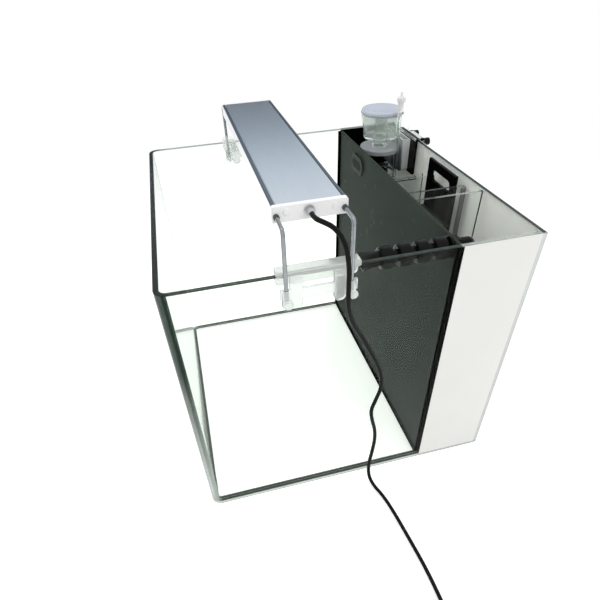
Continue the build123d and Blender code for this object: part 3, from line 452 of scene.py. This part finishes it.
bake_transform(power_cord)


# Photographer's floor and lamps
# A white sweep that keeps the tank's faint shadow, under a soft tent that is plain white
# to the lens, the metal and the glass. A grey card and a bright box give metal its tones.
floor_size = 30.0
floor_drop = 0.0004
floor_lift = 0.5
floor_fade = (0.45, 1.6)
paper_patch = 0.6
tent_strength = 0.74
board_size = 1.0
card_place = (-1.6, -0.05, 1.0)
card_width, card_height = 5.0, 0.72
card_tones = ((0.0, (0.07, 0.085, 0.1)), (0.3, (0.25, 0.3, 0.35)), (0.62, (0.6, 0.68, 0.75)),
              (1.0, (0.78, 0.84, 0.88)))
bright_box_place = (0.25, -0.5, 2.3)
bright_box_size = 0.5
bright_box_strength = 4.0
lamp_places = (("key", (-0.9, -1.3, 2.3), 1.6, 15.0), ("fill", (1.7, 0.9, 1.9), 1.8, 12.0),
               ("back", (-1.5, 1.6, 1.7), 1.6, 8.0))


def worked_out(tree, operation, *terms):
    """A value worked out from terms, each another value or a plain number."""
    node = tree.nodes.new("ShaderNodeMath")
    node.operation = operation
    for socket, term in zip(node.inputs, terms):
        feed(tree, socket, term)
    return node.outputs[0]


def seen_directly(tree):
    """One for rays of the lens, of metal and of glass, and nought for soft light."""
    rays = tree.nodes.new("ShaderNodeLightPath").outputs
    lens = worked_out(tree, "MAXIMUM", rays["Is Camera Ray"], rays["Is Transmission Ray"])
    return worked_out(tree, "MAXIMUM", lens, rays["Is Glossy Ray"])


def white_sweep():
    """The floor's paper: matt near-white by the tank, and plain white farther off."""
    finish, shader, place = start_finish("white sweep")
    tree = finish.node_tree
    seen = seen_directly(tree)
    reach = tree.nodes.new("ShaderNodeVectorMath")
    reach.operation = "LENGTH"
    tree.links.new(place, reach.inputs[0])
    away = spread(tree, reach.outputs["Value"], *floor_fade)
    away.node.interpolation_type = "SMOOTHSTEP"
    far = worked_out(tree, "MULTIPLY", away, seen)
    paper = tint(finish, between(finish, clouds(finish, place, paper_patch), 0, 1),
                 shade(238, 238, 238), shade(242, 242, 241))
    tree.links.new(tint(finish, far, paper, shade(0, 0, 0)), shader.inputs["Base Color"])
    shader.inputs["Roughness"].default_value = 0.9
    shader.inputs["Specular IOR Level"].default_value = 0.0
    glow = worked_out(tree, "MULTIPLY", spread(tree, away, 0, 1, floor_lift, 1), seen)
    shader.inputs["Emission Color"].default_value = (1, 1, 1, 1)
    tree.links.new(glow, shader.inputs["Emission Strength"])
    return finish


def tent():
    """The world: white for the lens, metal and glass, and a soft even light for the rest."""
    world = bpy.data.worlds.new("tent")
    world.use_nodes = True
    tree = world.node_tree
    background = tree.nodes["Background"]
    background.inputs["Color"].default_value = (1, 1, 1, 1)
    strength = spread(tree, seen_directly(tree), 0, 1, tent_strength, 1)
    tree.links.new(strength, background.inputs["Strength"])
    return world


def stage_board(name, place, width, height, turn, paint):
    """A board that only metal, glass and gloss see, never the lens or the soft light."""
    shape = bmesh.new()
    bmesh.ops.create_grid(shape, x_segments=1, y_segments=1, size=board_size / 2)
    board = new_piece(name, shape, None)
    board.scale = (height, width, 1.0)
    board.location = place
    board.rotation_euler = turn
    board.visible_camera = board.visible_diffuse = board.visible_transmission = False
    board.visible_shadow = False
    board.data.materials.append(paint)


def coordinate(tree, place, axis):
    """One coordinate, X, Y or Z, of a place on the piece."""
    parts = tree.nodes.new("ShaderNodeSeparateXYZ")
    tree.links.new(place, parts.inputs[0])
    return parts.outputs[axis]


def glowing(name, tones, strength):
    """A board's paint: tones from its foot to its head, along its own X, that glow."""
    finish, shader, place = start_finish(name)
    tree = finish.node_tree
    ramp = tree.nodes.new("ShaderNodeValToRGB")
    stops = ramp.color_ramp.elements
    stops[0].position, stops[0].color = 0.0, (*tones[0][1], 1)
    stops[1].position, stops[1].color = 1.0, (*tones[-1][1], 1)
    for position, tone in tones[1:-1]:
        stops.new(position).color = (*tone, 1)
    up = spread(tree, coordinate(tree, place, "X"), -board_size / 2, board_size / 2)
    tree.links.new(up, ramp.inputs["Fac"])
    shader.inputs["Base Color"].default_value = (0, 0, 0, 1)
    shader.inputs["Specular IOR Level"].default_value = 0.0
    tree.links.new(ramp.outputs["Color"], shader.inputs["Emission Color"])
    shader.inputs["Emission Strength"].default_value = strength
    return finish


sweep = bmesh.new()
bmesh.ops.create_grid(sweep, x_segments=2, y_segments=2, size=floor_size / 2)
bmesh.ops.translate(sweep, verts=sweep.verts, vec=(0, 0, -floor_drop))
floor = new_piece("floor", sweep, None)
floor.data.materials.append(white_sweep())
stage_board("grey_card", card_place, card_width, card_height, (0, -pi / 2, 0),
            glowing("grey card", card_tones, 1.0))
stage_board("bright_box", bright_box_place, bright_box_size, bright_box_size, (0, 0, 0),
            glowing("bright box", ((0.0, (1, 1, 1)), (1.0, (1, 1, 1))), bright_box_strength))
bpy.context.scene.world = tent()
for lamp_name, place, size, power in lamp_places:
    lamp_data = bpy.data.lights.new(lamp_name, "AREA")
    lamp_data.size = size
    lamp_data.energy = power
    lamp = bpy.data.objects.new(lamp_name, lamp_data)
    lamp.location = place
    lamp.rotation_euler = (-Vector(place)).to_track_quat("-Z", "Y").to_euler()
    lamp.visible_glossy = False
    bpy.context.scene.collection.objects.link(lamp)
bpy.context.scene.view_settings.view_transform = "Standard"


# Glass sheets
# Low-iron float glass, 6 mm: one sheet bent round both front corners, and a flat bottom
# and rear bonded on with silicone. Their edges are ground and polished. Painted shade
# makes them dark green at the front, at the rear's top and at the near bend; painted light
# makes the rest paler.
outer_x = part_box("base_pane")[1][0]
outer_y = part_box("base_pane")[1][1]
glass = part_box("base_pane")[1][2]
rim_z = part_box("bent_wall")[1][2]
inner_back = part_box("rear_pane")[0][1]
corner_radius = 0.014
corner_steps = 12
ground_edge = 0.0007
chamber_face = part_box("partition")[0][1]
bend_share = 0.75
bend_fade_height = 0.7 * rim_z
sloping = 0.4
square_on = 0.9
# Finish numbers: clear glass, then edge copies in painted shade (dark, bend, rear, lower) and in
# painted light (pale, white).
clear_face, painted_dark_face, painted_pale_face, painted_bend_face, painted_white_face, painted_grey_face, painted_rear_face = range(7)


def clear_finish(name, low, high, roughness=0.0, ior=1.25, patch=0.08, depth=0.0, grain=0.004,
                 edge=0.0, transmission=1.0, shadow=0.97):
    """A see-through finish that lets the lamps' light through to what is behind it."""
    finish, shader, place = start_finish(name)
    nodes, links = finish.node_tree.nodes, finish.node_tree.links
    patches = clouds(finish, place, patch)
    links.new(tint(finish, between(finish, patches, 0, 1), low, high),
              shader.inputs["Base Color"])
    shader.inputs["Roughness"].default_value = roughness
    shader.inputs["IOR"].default_value = ior
    shader.inputs["Transmission Weight"].default_value = transmission
    if depth:
        relief(finish, shader, clouds(finish, place, grain, detail=3.0), depth, edge)
    path = nodes.new("ShaderNodeLightPath")
    through = nodes.new("ShaderNodeBsdfTransparent")
    through.inputs["Color"].default_value = (shadow, shadow, shadow, 1)
    mixed = nodes.new("ShaderNodeMixShader")
    links.new(path.outputs["Is Shadow Ray"], mixed.inputs["Fac"])
    links.new(shader.outputs["BSDF"], mixed.inputs[1])
    links.new(through.outputs["BSDF"], mixed.inputs[2])
    links.new(mixed.outputs["Shader"], nodes["Material Output"].inputs["Surface"])
    return finish


def bent_outline(inset):
    """The bent sheet's plan line, that far inside its outer face, rear end to rear end."""
    radius = corner_radius - inset
    x = outer_x - corner_radius
    y = -outer_y + corner_radius
    line = [(outer_x - inset, inner_back), (outer_x - inset, chamber_face)]
    for centre_x, first in ((x, 0), (-x, -90)):
        for i in range(corner_steps + 1):
            angle = radians(first - 90 * i / corner_steps)
            line.append((centre_x + radius * cos(angle), y + radius * sin(angle)))
    return line + [(-outer_x + inset, chamber_face), (-outer_x + inset, inner_back)]


def bent_sheet():
    """The bent sheet as a skin of insets and heights carried along its plan line."""
    shape = bmesh.new()
    c = ground_edge
    section = [(0, glass + c), (0, rim_z - c), (c, rim_z), (glass - c, rim_z),
               (glass, rim_z - c), (glass, glass + c), (glass - c, glass), (c, glass)]
    lines = []
    for inset, z in section:
        lines.append([shape.verts.new((x, y, z)) for x, y in bent_outline(inset)])
    stations = [list(station) for station in zip(*lines)]
    ring_tube(shape, stations)
    return shape


def flat_sheet(outline_points, z0, z1):
    """A flat lying sheet with ground edges round a plan outline given by its inset."""
    shape = bmesh.new()
    c = ground_edge
    rings = []
    for inset, z in ((c, z0), (0, z0 + c), (0, z1 - c), (c, z1)):
        rings.append([shape.verts.new((x, y, z)) for x, y in outline_points(inset)])
    ring_tube(shape, rings)
    return shape


def base_outline(inset):
    """The bottom sheet's plan: the bent sheet's line, closed along the tank's rear."""
    line = bent_outline(inset)
    back = outer_y - inset
    return [(outer_x - inset, back)] + line[1:-1] + [(-outer_x + inset, back)]


def rear_sheet():
    """The flat rear sheet, standing on the bottom sheet."""
    shape = bmesh.new()
    bmesh.ops.create_cube(shape, size=1.0)
    size = Vector((2 * outer_x, outer_y - inner_back, rim_z - glass))
    middle = Vector((0, (outer_y + inner_back) / 2, (rim_z + glass) / 2))
    for vertex in shape.verts:
        vertex.co = Vector([a * b for a, b in zip(vertex.co, size)]) + middle
    bmesh.ops.bevel(shape, geom=shape.edges[:], offset=ground_edge, segments=1,
                    affect="EDGES")
    return shape


def opened(finish):
    """A finish's tree, the socket of its colour, the colour so far, and the place."""
    tree = finish.node_tree
    base = tree.nodes["Principled BSDF"].inputs["Base Color"]
    place = tree.nodes.new("ShaderNodeTexCoord").outputs["Object"]
    return tree, base, base.links[0].from_socket, place


def green_edge_painted_shade():
    """A green glass edge with painted shade: dark along the front, paler towards the rear and the
    far side.
    """
    finish = clear_finish("green edge with painted shade", shade(40, 52, 46), shade(52, 66, 58),
                          roughness=0.08, transmission=0.2, patch=0.012, shadow=0.6)
    tree, base, deep, place = opened(finish)
    # Painted shade: near black towards the front, dark at the near side, paler towards the far
    # side.
    front = spread(tree, coordinate(tree, place, "Y"), -outer_y + 2 * corner_radius,
                   -outer_y + glass)
    side = spread(tree, coordinate(tree, place, "X"), -outer_x, outer_x)
    sides = tint(finish, side, shade(156, 166, 160), deep)
    tree.links.new(tint(finish, front, sides, shade(14, 20, 17)), base)
    return finish


def mark_faces(piece, finish_of):
    """Give each face the finish whose number the rule works out from it."""
    for face in piece.data.polygons:
        face.material_index = finish_of(face.normal, face.center)


def bent_finish(normal, centre):
    """The number of a face's finish: clear glass, or an edge in painted dark, pale, bend or grey
    tones.
    """
    near = centre.x > outer_x - corner_radius
    front = centre.y < -outer_y + corner_radius
    if normal.z < -sloping:
        return painted_grey_face if near and not front else painted_pale_face
    if normal.z > sloping:
        return painted_pale_face if near and centre.y > chamber_face else painted_dark_face
    if normal.y > square_on:
        return painted_pale_face
    turning = abs(abs(normal.x) - abs(normal.y)) < bend_share
    return painted_bend_face if near and front and turning else clear_face


def base_finish(normal, centre):
    """The number of a bottom sheet's face: clear above and below, painted pale round its edge."""
    return painted_pale_face if abs(normal.z) < square_on else clear_face


def rear_finish(normal, centre):
    """The number of a rear sheet's face: clear, or an edge in painted tones: dark top, white
    uprights, pale elsewhere.
    """
    if abs(normal.y) > square_on:
        return clear_face
    if normal.z > square_on:
        return painted_rear_face
    return painted_white_face if abs(normal.x) > square_on else painted_pale_face


def bend_painted_shade_finish():
    """The near corner's bend, with painted shade: dark green at its top and pale at its foot."""
    finish = clear_finish("bend with painted shade", shade(24, 40, 32), shade(34, 52, 43),
                          roughness=0.05, transmission=0.5, patch=0.03, shadow=0.8)
    tree, base, deep, place = opened(finish)
    # Painted shade: dark green at the bend's top, fading to pale towards its foot.
    up = spread(tree, coordinate(tree, place, "Z"), 0, bend_fade_height)
    tree.links.new(tint(finish, up, shade(206, 216, 210), deep), base)
    return finish


clear_glass = clear_finish("clear glass", shade(251, 254, 251), shade(252, 255, 252), ior=1.12)
# Lit and shaded copies of one green glass edge: painted shade on the dark, rear, lower and bend
# edges, painted light on the pale and white ones.
painted_dark_edge = green_edge_painted_shade()
painted_pale_edge = clear_finish("edge with painted light", shade(196, 206, 200), shade(210, 219, 213),
                         roughness=0.08, transmission=0.5, patch=0.012, shadow=0.8)
painted_white_edge = clear_finish("edge with painted white light", shade(226, 231, 227), shade(233, 237, 234),
                          roughness=0.1, transmission=0.1, patch=0.012)
painted_rear_shade_edge = clear_finish("rear edge with painted shade", shade(30, 35, 32), shade(38, 44, 40), roughness=0.08,
                         transmission=0.1, patch=0.012)
painted_grey_lower_edge = clear_finish("lower edge with painted grey shade", shade(112, 122, 116), shade(124, 134, 128),
                          roughness=0.08, transmission=0.3, patch=0.012)
painted_bend_shade = bend_painted_shade_finish()
bent_glass = new_piece("bent_glass", bent_sheet(), "tank")
base_glass = new_piece("base_glass", flat_sheet(base_outline, 0, glass), "tank")
rear_glass = new_piece("rear_glass", rear_sheet(), "tank")
for piece, node in ((bent_glass, "bent_wall"), (base_glass, "base_pane"),
                    (rear_glass, "rear_pane")):
    for finish in (clear_glass, painted_dark_edge, painted_pale_edge, painted_bend_shade, painted_white_edge, painted_grey_lower_edge,
                   painted_rear_shade_edge):
        piece.data.materials.append(finish)
    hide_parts(node)
mark_faces(bent_glass, bent_finish)
mark_faces(base_glass, base_finish)
mark_faces(rear_glass, rear_finish)
for piece in (bent_glass, base_glass, rear_glass):
    piece.data.set_sharp_from_angle(angle=radians(30))


# Silicone
# Silicone pressed into the inside corners and smoothed with a finger: clear along the
# bottom and the rear, black along the partition.
dark_bead_reach = 0.007


def bead_silicone():
    """Clear silicone, and black along both faces of the partition."""
    finish = clear_finish("silicone", shade(244, 247, 245), shade(249, 251, 250),
                          roughness=0.15, ior=1.04, patch=0.015, transmission=0.95,
                          depth=0.00005, grain=0.006)
    tree, base, clear, place = opened(finish)
    low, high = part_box("partition")[0][1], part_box("partition")[1][1]
    near = worked_out(tree, "COMPARE", coordinate(tree, place, "Y"), (low + high) / 2,
                      dark_bead_reach)
    tree.links.new(tint(finish, near, clear, shade(30, 34, 32)), base)
    return finish


dress(bead_silicone(), "silicone", "silicone_beads")


# Partition and strainer
# A sheet of smoked black glass between the display and the chamber, with the black
# slotted grille of the overflow pressed into its oval opening.
smoked_black = solid_finish("smoked black glass", shade(53, 60, 55), shade(57, 65, 59),
                            (0.22, 0.28), patch=0.12, grain=0.02, depth=0.0, IOR=1.05)
dress(smoked_black, "dark_sheet", "partition")
grille_black = solid_finish("grille black", shade(50, 56, 52), shade(56, 63, 58), (0.3, 0.42),
                            patch=0.01, grain=0.0005, depth=0.00002, edge=0.0003,
                            IOR=1.1)
dress(grille_black, "black_plastic", "overflow_strainer")


# Films
# White vinyl film on the outside of the chamber's side walls and of the rear, with a
# black layer under it on the sides. The rear's film has a faint painted glow, an emission
# that stands in for daylight shining through it.
white_vinyl = solid_finish("white vinyl", shade(242, 242, 238), shade(246, 246, 242),
                           (0.3, 0.4), patch=0.09, grain=0.0015, depth=0.000004)
dress(white_vinyl, "white_film", "side_films")
# Painted light: a faint emission that stands in for daylight shining through the rear's film.
rear_vinyl_painted_glow = solid_finish("rear vinyl with painted glow", shade(242, 242, 238), shade(246, 246, 242),
                          (0.3, 0.4), patch=0.09, grain=0.0015, depth=0.000004,
                          Emission_Color=(1, 1, 0.99, 1), Emission_Strength=0.13)
dress(rear_vinyl_painted_glow, "white_film", "rear_film")
black_vinyl = solid_finish("black vinyl", shade(14, 16, 16), shade(20, 22, 22), (0.3, 0.42),
                           patch=0.05, grain=0.0015, depth=0.00001, IOR=1.2)
dress(black_vinyl, "black_film", "film_backings")


# Chamber walls
# Four upright glass dividers, bonded between the partition and the rear, and the grey
# plastic bar with a round top that guides the cartridge.
divider_glass = clear_finish("divider glass", shade(246, 250, 247), shade(250, 252, 250))
dress(divider_glass, "clear_glass", "far_divider", "near_divider", "cartridge_wall_far",
      "cartridge_wall_near")
bar_grey = solid_finish("bar grey", shade(128, 130, 130), shade(142, 144, 143), (0.38, 0.5),
                        patch=0.02, grain=0.0006, depth=0.00003, edge=0.0006)
dress(bar_grey, "grey_plastic", "guide_bar")


# Filter cartridge
# A black acrylic plate with an oblong finger hole that lifts out, and a block of black
# open-cell foam on its shelf.
black_acrylic = solid_finish("black acrylic", shade(6, 6, 7), shade(10, 10, 11),
                             (0.1, 0.18), patch=0.05, grain=0.003, depth=0.000002,
                             edge=0.0004, IOR=1.12)
dress(black_acrylic, "black_plastic", "cartridge_plate")


foam_cells_per_metre = 650
foam_cell_depth = 0.0012


def open_cell_foam():
    """Reticulated foam: small open cells as deep relief, with painted shade dark in each cell's
    hollow.
    """
    finish, shader, place = start_finish("open cell foam")
    nodes, links = finish.node_tree.nodes, finish.node_tree.links
    cells = nodes.new("ShaderNodeTexVoronoi")
    cells.inputs["Scale"].default_value = foam_cells_per_metre
    links.new(place, cells.inputs["Vector"])
    # Painted shade: darkest in each cell's hollow, where the relief is lowest, and lighter on the
    # struts.
    links.new(tint(finish, cells.outputs["Distance"], shade(16, 17, 18), shade(62, 64, 66)),
              shader.inputs["Base Color"])
    shader.inputs["Roughness"].default_value = 0.95
    relief(finish, shader, cells.outputs["Distance"], foam_cell_depth)
    return finish


dress(open_cell_foam(), "foam", "filter_sponge")


# Return pump and its pipe
# A black sealed motor on four rubber suction cups, a clip-on cover, a ferrite rotor on a
# ceramic shaft, and the riser pipe up to the elbow.
pump_black = solid_finish("pump black", shade(16, 16, 18), shade(24, 24, 26), (0.35, 0.5),
                          patch=0.015, grain=0.0005, depth=0.00003, edge=0.0006, IOR=1.2)
dress(pump_black, "black_plastic", "pump_body", "pump_cover", "pump_riser", "skimmer_pump",
      "bulkhead_nut")
ceramic = solid_finish("white ceramic", shade(232, 230, 224), shade(240, 238, 232),
                       (0.12, 0.2), patch=0.004, grain=0.0004, depth=0.000005)
dress(ceramic, "ceramic", "pump_shaft")
ferrite = solid_finish("ferrite and nylon", shade(46, 46, 48), shade(64, 64, 66), (0.4, 0.55),
                       patch=0.004, grain=0.0004, depth=0.00003, edge=0.0003)
dress(ferrite, "rotor", "pump_rotor", "skimmer_impeller")
soft_rubber = solid_finish("soft rubber", shade(20, 20, 21), shade(28, 28, 29), (0.55, 0.7),
                           patch=0.006, grain=0.0005, depth=0.00004, IOR=1.2)
dress(soft_rubber, "rubber", "pump_feet")


# Return hose
# Glossy black ball joints, snapped into each other, from the elbow through the
# partition to the flat nozzle.
hose_black = solid_finish("hose black", shade(5, 7, 6), shade(9, 11, 10), (0.1, 0.16),
                          patch=0.01, grain=0.0012, depth=0.000002, edge=0.0005, IOR=1.22)
hose_links = sorted(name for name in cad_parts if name.startswith("hose_link"))
dress(hose_black, "black_plastic", "hose_elbow", "return_nozzle", *hose_links)


# Skimmer
# A clear acrylic reaction tube with a grey collar, a clear tapered foam cup with its
# riser, a pale lilac-grey lid, and a clear air line with a white valve.
smoked_wall = 0.0018
tray_patch = 0.02
clear_acrylic = clear_finish("clear acrylic", shade(244, 249, 246), shade(248, 252, 250),
                             roughness=0.03, ior=1.2, patch=0.02, depth=0.000004, grain=0.003)
dress(clear_acrylic, "clear_plastic", "skimmer_body", "skimmer_air_tube", "skimmer_bracket")
cup_acrylic = clear_finish("cup acrylic", shade(228, 236, 232), shade(236, 242, 238),
                           roughness=0.1, ior=1.16, patch=0.02, depth=0.000004, grain=0.003,
                           transmission=0.82)
dress(cup_acrylic, "clear_plastic", "skimmer_cup")
collar_grey = solid_finish("collar grey", shade(146, 149, 153), shade(158, 161, 165),
                           (0.28, 0.4), patch=0.012, grain=0.0005, depth=0.00002, edge=0.0005)
dress(collar_grey, "grey_plastic", "skimmer_collar")
lid_lilac = solid_finish("lid lilac grey", shade(190, 198, 212), shade(198, 205, 218),
                         (0.2, 0.32), patch=0.02, grain=0.0006, depth=0.00001, edge=0.0005,
                         Subsurface_Weight=0.1, Subsurface_Scale=0.003)
dress(lid_lilac, "lid_plastic", "skimmer_lid")
valve_white = solid_finish("valve white", shade(236, 238, 237), shade(244, 245, 244),
                           (0.3, 0.42), patch=0.006, grain=0.0005, depth=0.00002,
                           edge=0.0004)
dress(valve_white, "white_plastic", "air_valve_body", "air_valve_knob")
dress(pump_black, "black_plastic", "bracket_screw_far", "bracket_screw_near")


def smoked_plastic():
    """A pale tray whose smoked front wall has painted light and shade, pale at its rim and dark
    at its foot.
    """
    low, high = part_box("splash_guard")[0][2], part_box("splash_guard")[1][2]
    finish, shader, place = start_finish("smoked acrylic with painted light and shade")
    tree = finish.node_tree
    # Painted light and shade on the front wall: pale towards the rim, dark towards the foot.
    fade = spread(tree, coordinate(tree, place, "Z"), low, high)
    smoked_tint_with_painted_shade = tint(finish, fade, shade(74, 79, 85), shade(228, 231, 233))
    front = worked_out(tree, "LESS_THAN", coordinate(tree, place, "Y"),
                       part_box("splash_guard")[0][1] + smoked_wall)
    pale = tint(finish, between(finish, clouds(finish, place, tray_patch), 0, 1),
                shade(212, 215, 214), shade(218, 221, 220))
    tree.links.new(tint(finish, front, pale, smoked_tint_with_painted_shade), shader.inputs["Base Color"])
    shader.inputs["Roughness"].default_value = 0.12
    shader.inputs["IOR"].default_value = 1.2
    return finish


dress(smoked_plastic(), "smoked_plastic", "splash_guard")


# Saddles and their locking knobs
# Frosted clear polycarbonate, moulded in one piece, clipped over the side rims. Each rod
# stands in a drop-shaped sleeve and is locked there by a small knob.
frosted = clear_finish("frosted polycarbonate", shade(246, 249, 247), shade(250, 252, 251),
                       roughness=0.2, ior=1.09, patch=0.02, transmission=0.68,
                       depth=0.00002, grain=0.0012, edge=0.0008, shadow=0.92)
dress(frosted, "clear_plastic", "near_saddle", "far_saddle", "lock_knob_near_front",
      "lock_knob_near_back", "lock_knob_far_front", "lock_knob_far_back")


# Light bar's rods
# Four bent steel rods, polished and chromed, pushed into the end caps through short dark
# ferrules. Their lower ends stand in the saddles' sleeves.
chrome = solid_finish("chrome", shade(142, 146, 150), shade(158, 162, 165), (0.05, 0.1),
                      patch=0.01, grain=0.0015, depth=0.000002, Metallic=1.0)
dress(chrome, "chromed", "leg_rods")
ferrule_length = 0.0042
ferrule_straight = 0.85
ferrule_wall = 0.0009
ferrule_sides = 32
rod_stand_off = 0.006
dark_nickel = solid_finish("dark nickel", shade(70, 72, 75), shade(84, 86, 89), (0.18, 0.28),
                           patch=0.004, grain=0.0005, depth=0.00001, Metallic=1.0)


def rod_ferrules():
    """The short dark ferrule round each rod where it leaves its cap."""
    low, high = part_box("leg_rods")
    cap_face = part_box("end_caps")[1][0]
    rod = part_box("leg_rods")[1][0] - (outer_x + rod_stand_off)
    level = high[2] - rod
    for side, side_name in ((1, "near"), (-1, "far")):
        for y, end_name in ((low[1] + rod, "front"), (high[1] - rod, "back")):
            r = rod + ferrule_wall
            profile = [(side * cap_face, r),
                       (side * (cap_face + ferrule_length * ferrule_straight), r),
                       (side * (cap_face + ferrule_length), r - ferrule_wall / 2)]
            ferrule = turned_x(f"rod_ferrule_{side_name}_{end_name}", "light", profile,
                               (y, level), ferrule_sides)
            ferrule.data.materials.append(dark_nickel)


rod_ferrules()


# Light bar
# A brushed, clear-anodised aluminium extrusion with two grooves along its top, white
# caps screwed on its ends, a board with two rows of lamps, and a clear cover below.
painted_reflection_width = 0.0045
painted_reflection_depth = 0.0012
brush_line = 0.0007
brush_patch = 0.05
brush_gloss = (0.12, 0.17)
brush_depth = 0.000001
housing_edge = 0.0004


def brushed_aluminium():
    """Anodised aluminium, brushed along the bar, with a painted dark reflection on the strip
    beyond each groove.
    """
    finish, shader, place = start_finish("brushed aluminium")
    tree = finish.node_tree
    lines = clouds(finish, place, brush_line, (0.02, 1, 1), 4.0)
    wide = clouds(finish, place, brush_patch, (0.3, 1, 1))
    base = tint(finish, between(finish, wide, 0, 1), shade(228, 231, 236), shade(233, 236, 240))
    brushed = tint(finish, between(finish, lines, 0, 1), shade(224, 227, 233), base)
    low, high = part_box("light_housing")
    # Painted dark reflection: the strip between each groove and the top's edge is darkened where
    # the edge turns away.
    inside = worked_out(tree, "COMPARE", coordinate(tree, place, "Y"), (low[1] + high[1]) / 2,
                        (high[1] - low[1]) / 2 - painted_reflection_width)
    below = worked_out(tree, "LESS_THAN", coordinate(tree, place, "Z"), high[2] - painted_reflection_depth)
    plain = worked_out(tree, "MAXIMUM", inside, below)
    tree.links.new(tint(finish, plain, shade(104, 112, 124), brushed),
                   shader.inputs["Base Color"])
    tree.links.new(between(finish, lines, *brush_gloss), shader.inputs["Roughness"])
    shader.inputs["Metallic"].default_value = 1.0
    relief(finish, shader, lines, brush_depth, housing_edge)
    return finish


dress(brushed_aluminium(), "anodised", "light_housing")
cap_white = solid_finish("cap white", shade(252, 252, 252), shade(254, 254, 254), (0.3, 0.42),
                         patch=0.02, grain=0.0006, depth=0.000006, edge=0.0006)
dress(cap_white, "white_plastic", "end_caps")
dress(cap_white, "steel", "end_cap_screws")
cover_clear = clear_finish("cover clear", shade(240, 243, 244), shade(246, 248, 248),
                           roughness=0.05, depth=0.000004)
dress(cover_clear, "clear_plastic", "light_lens")
board_white = solid_finish("board white", shade(214, 218, 214), shade(224, 227, 223),
                           (0.35, 0.45), patch=0.02, grain=0.0008, depth=0.00001)
dress(board_white, "circuit_board", "led_board")
lamp_yellow = solid_finish("lamp phosphor", shade(226, 206, 120), shade(236, 218, 140),
                           (0.2, 0.3), patch=0.002, grain=0.0003, depth=0.000005,
                           edge=0.0003)
dress(lamp_yellow, "circuit_board", "leds")
nickel = solid_finish("nickel", shade(176, 178, 180), shade(196, 198, 200), (0.16, 0.28),
                      patch=0.004, grain=0.0005, depth=0.00001, edge=0.0003, Metallic=1.0)
dress(nickel, "steel", "cable_gland")
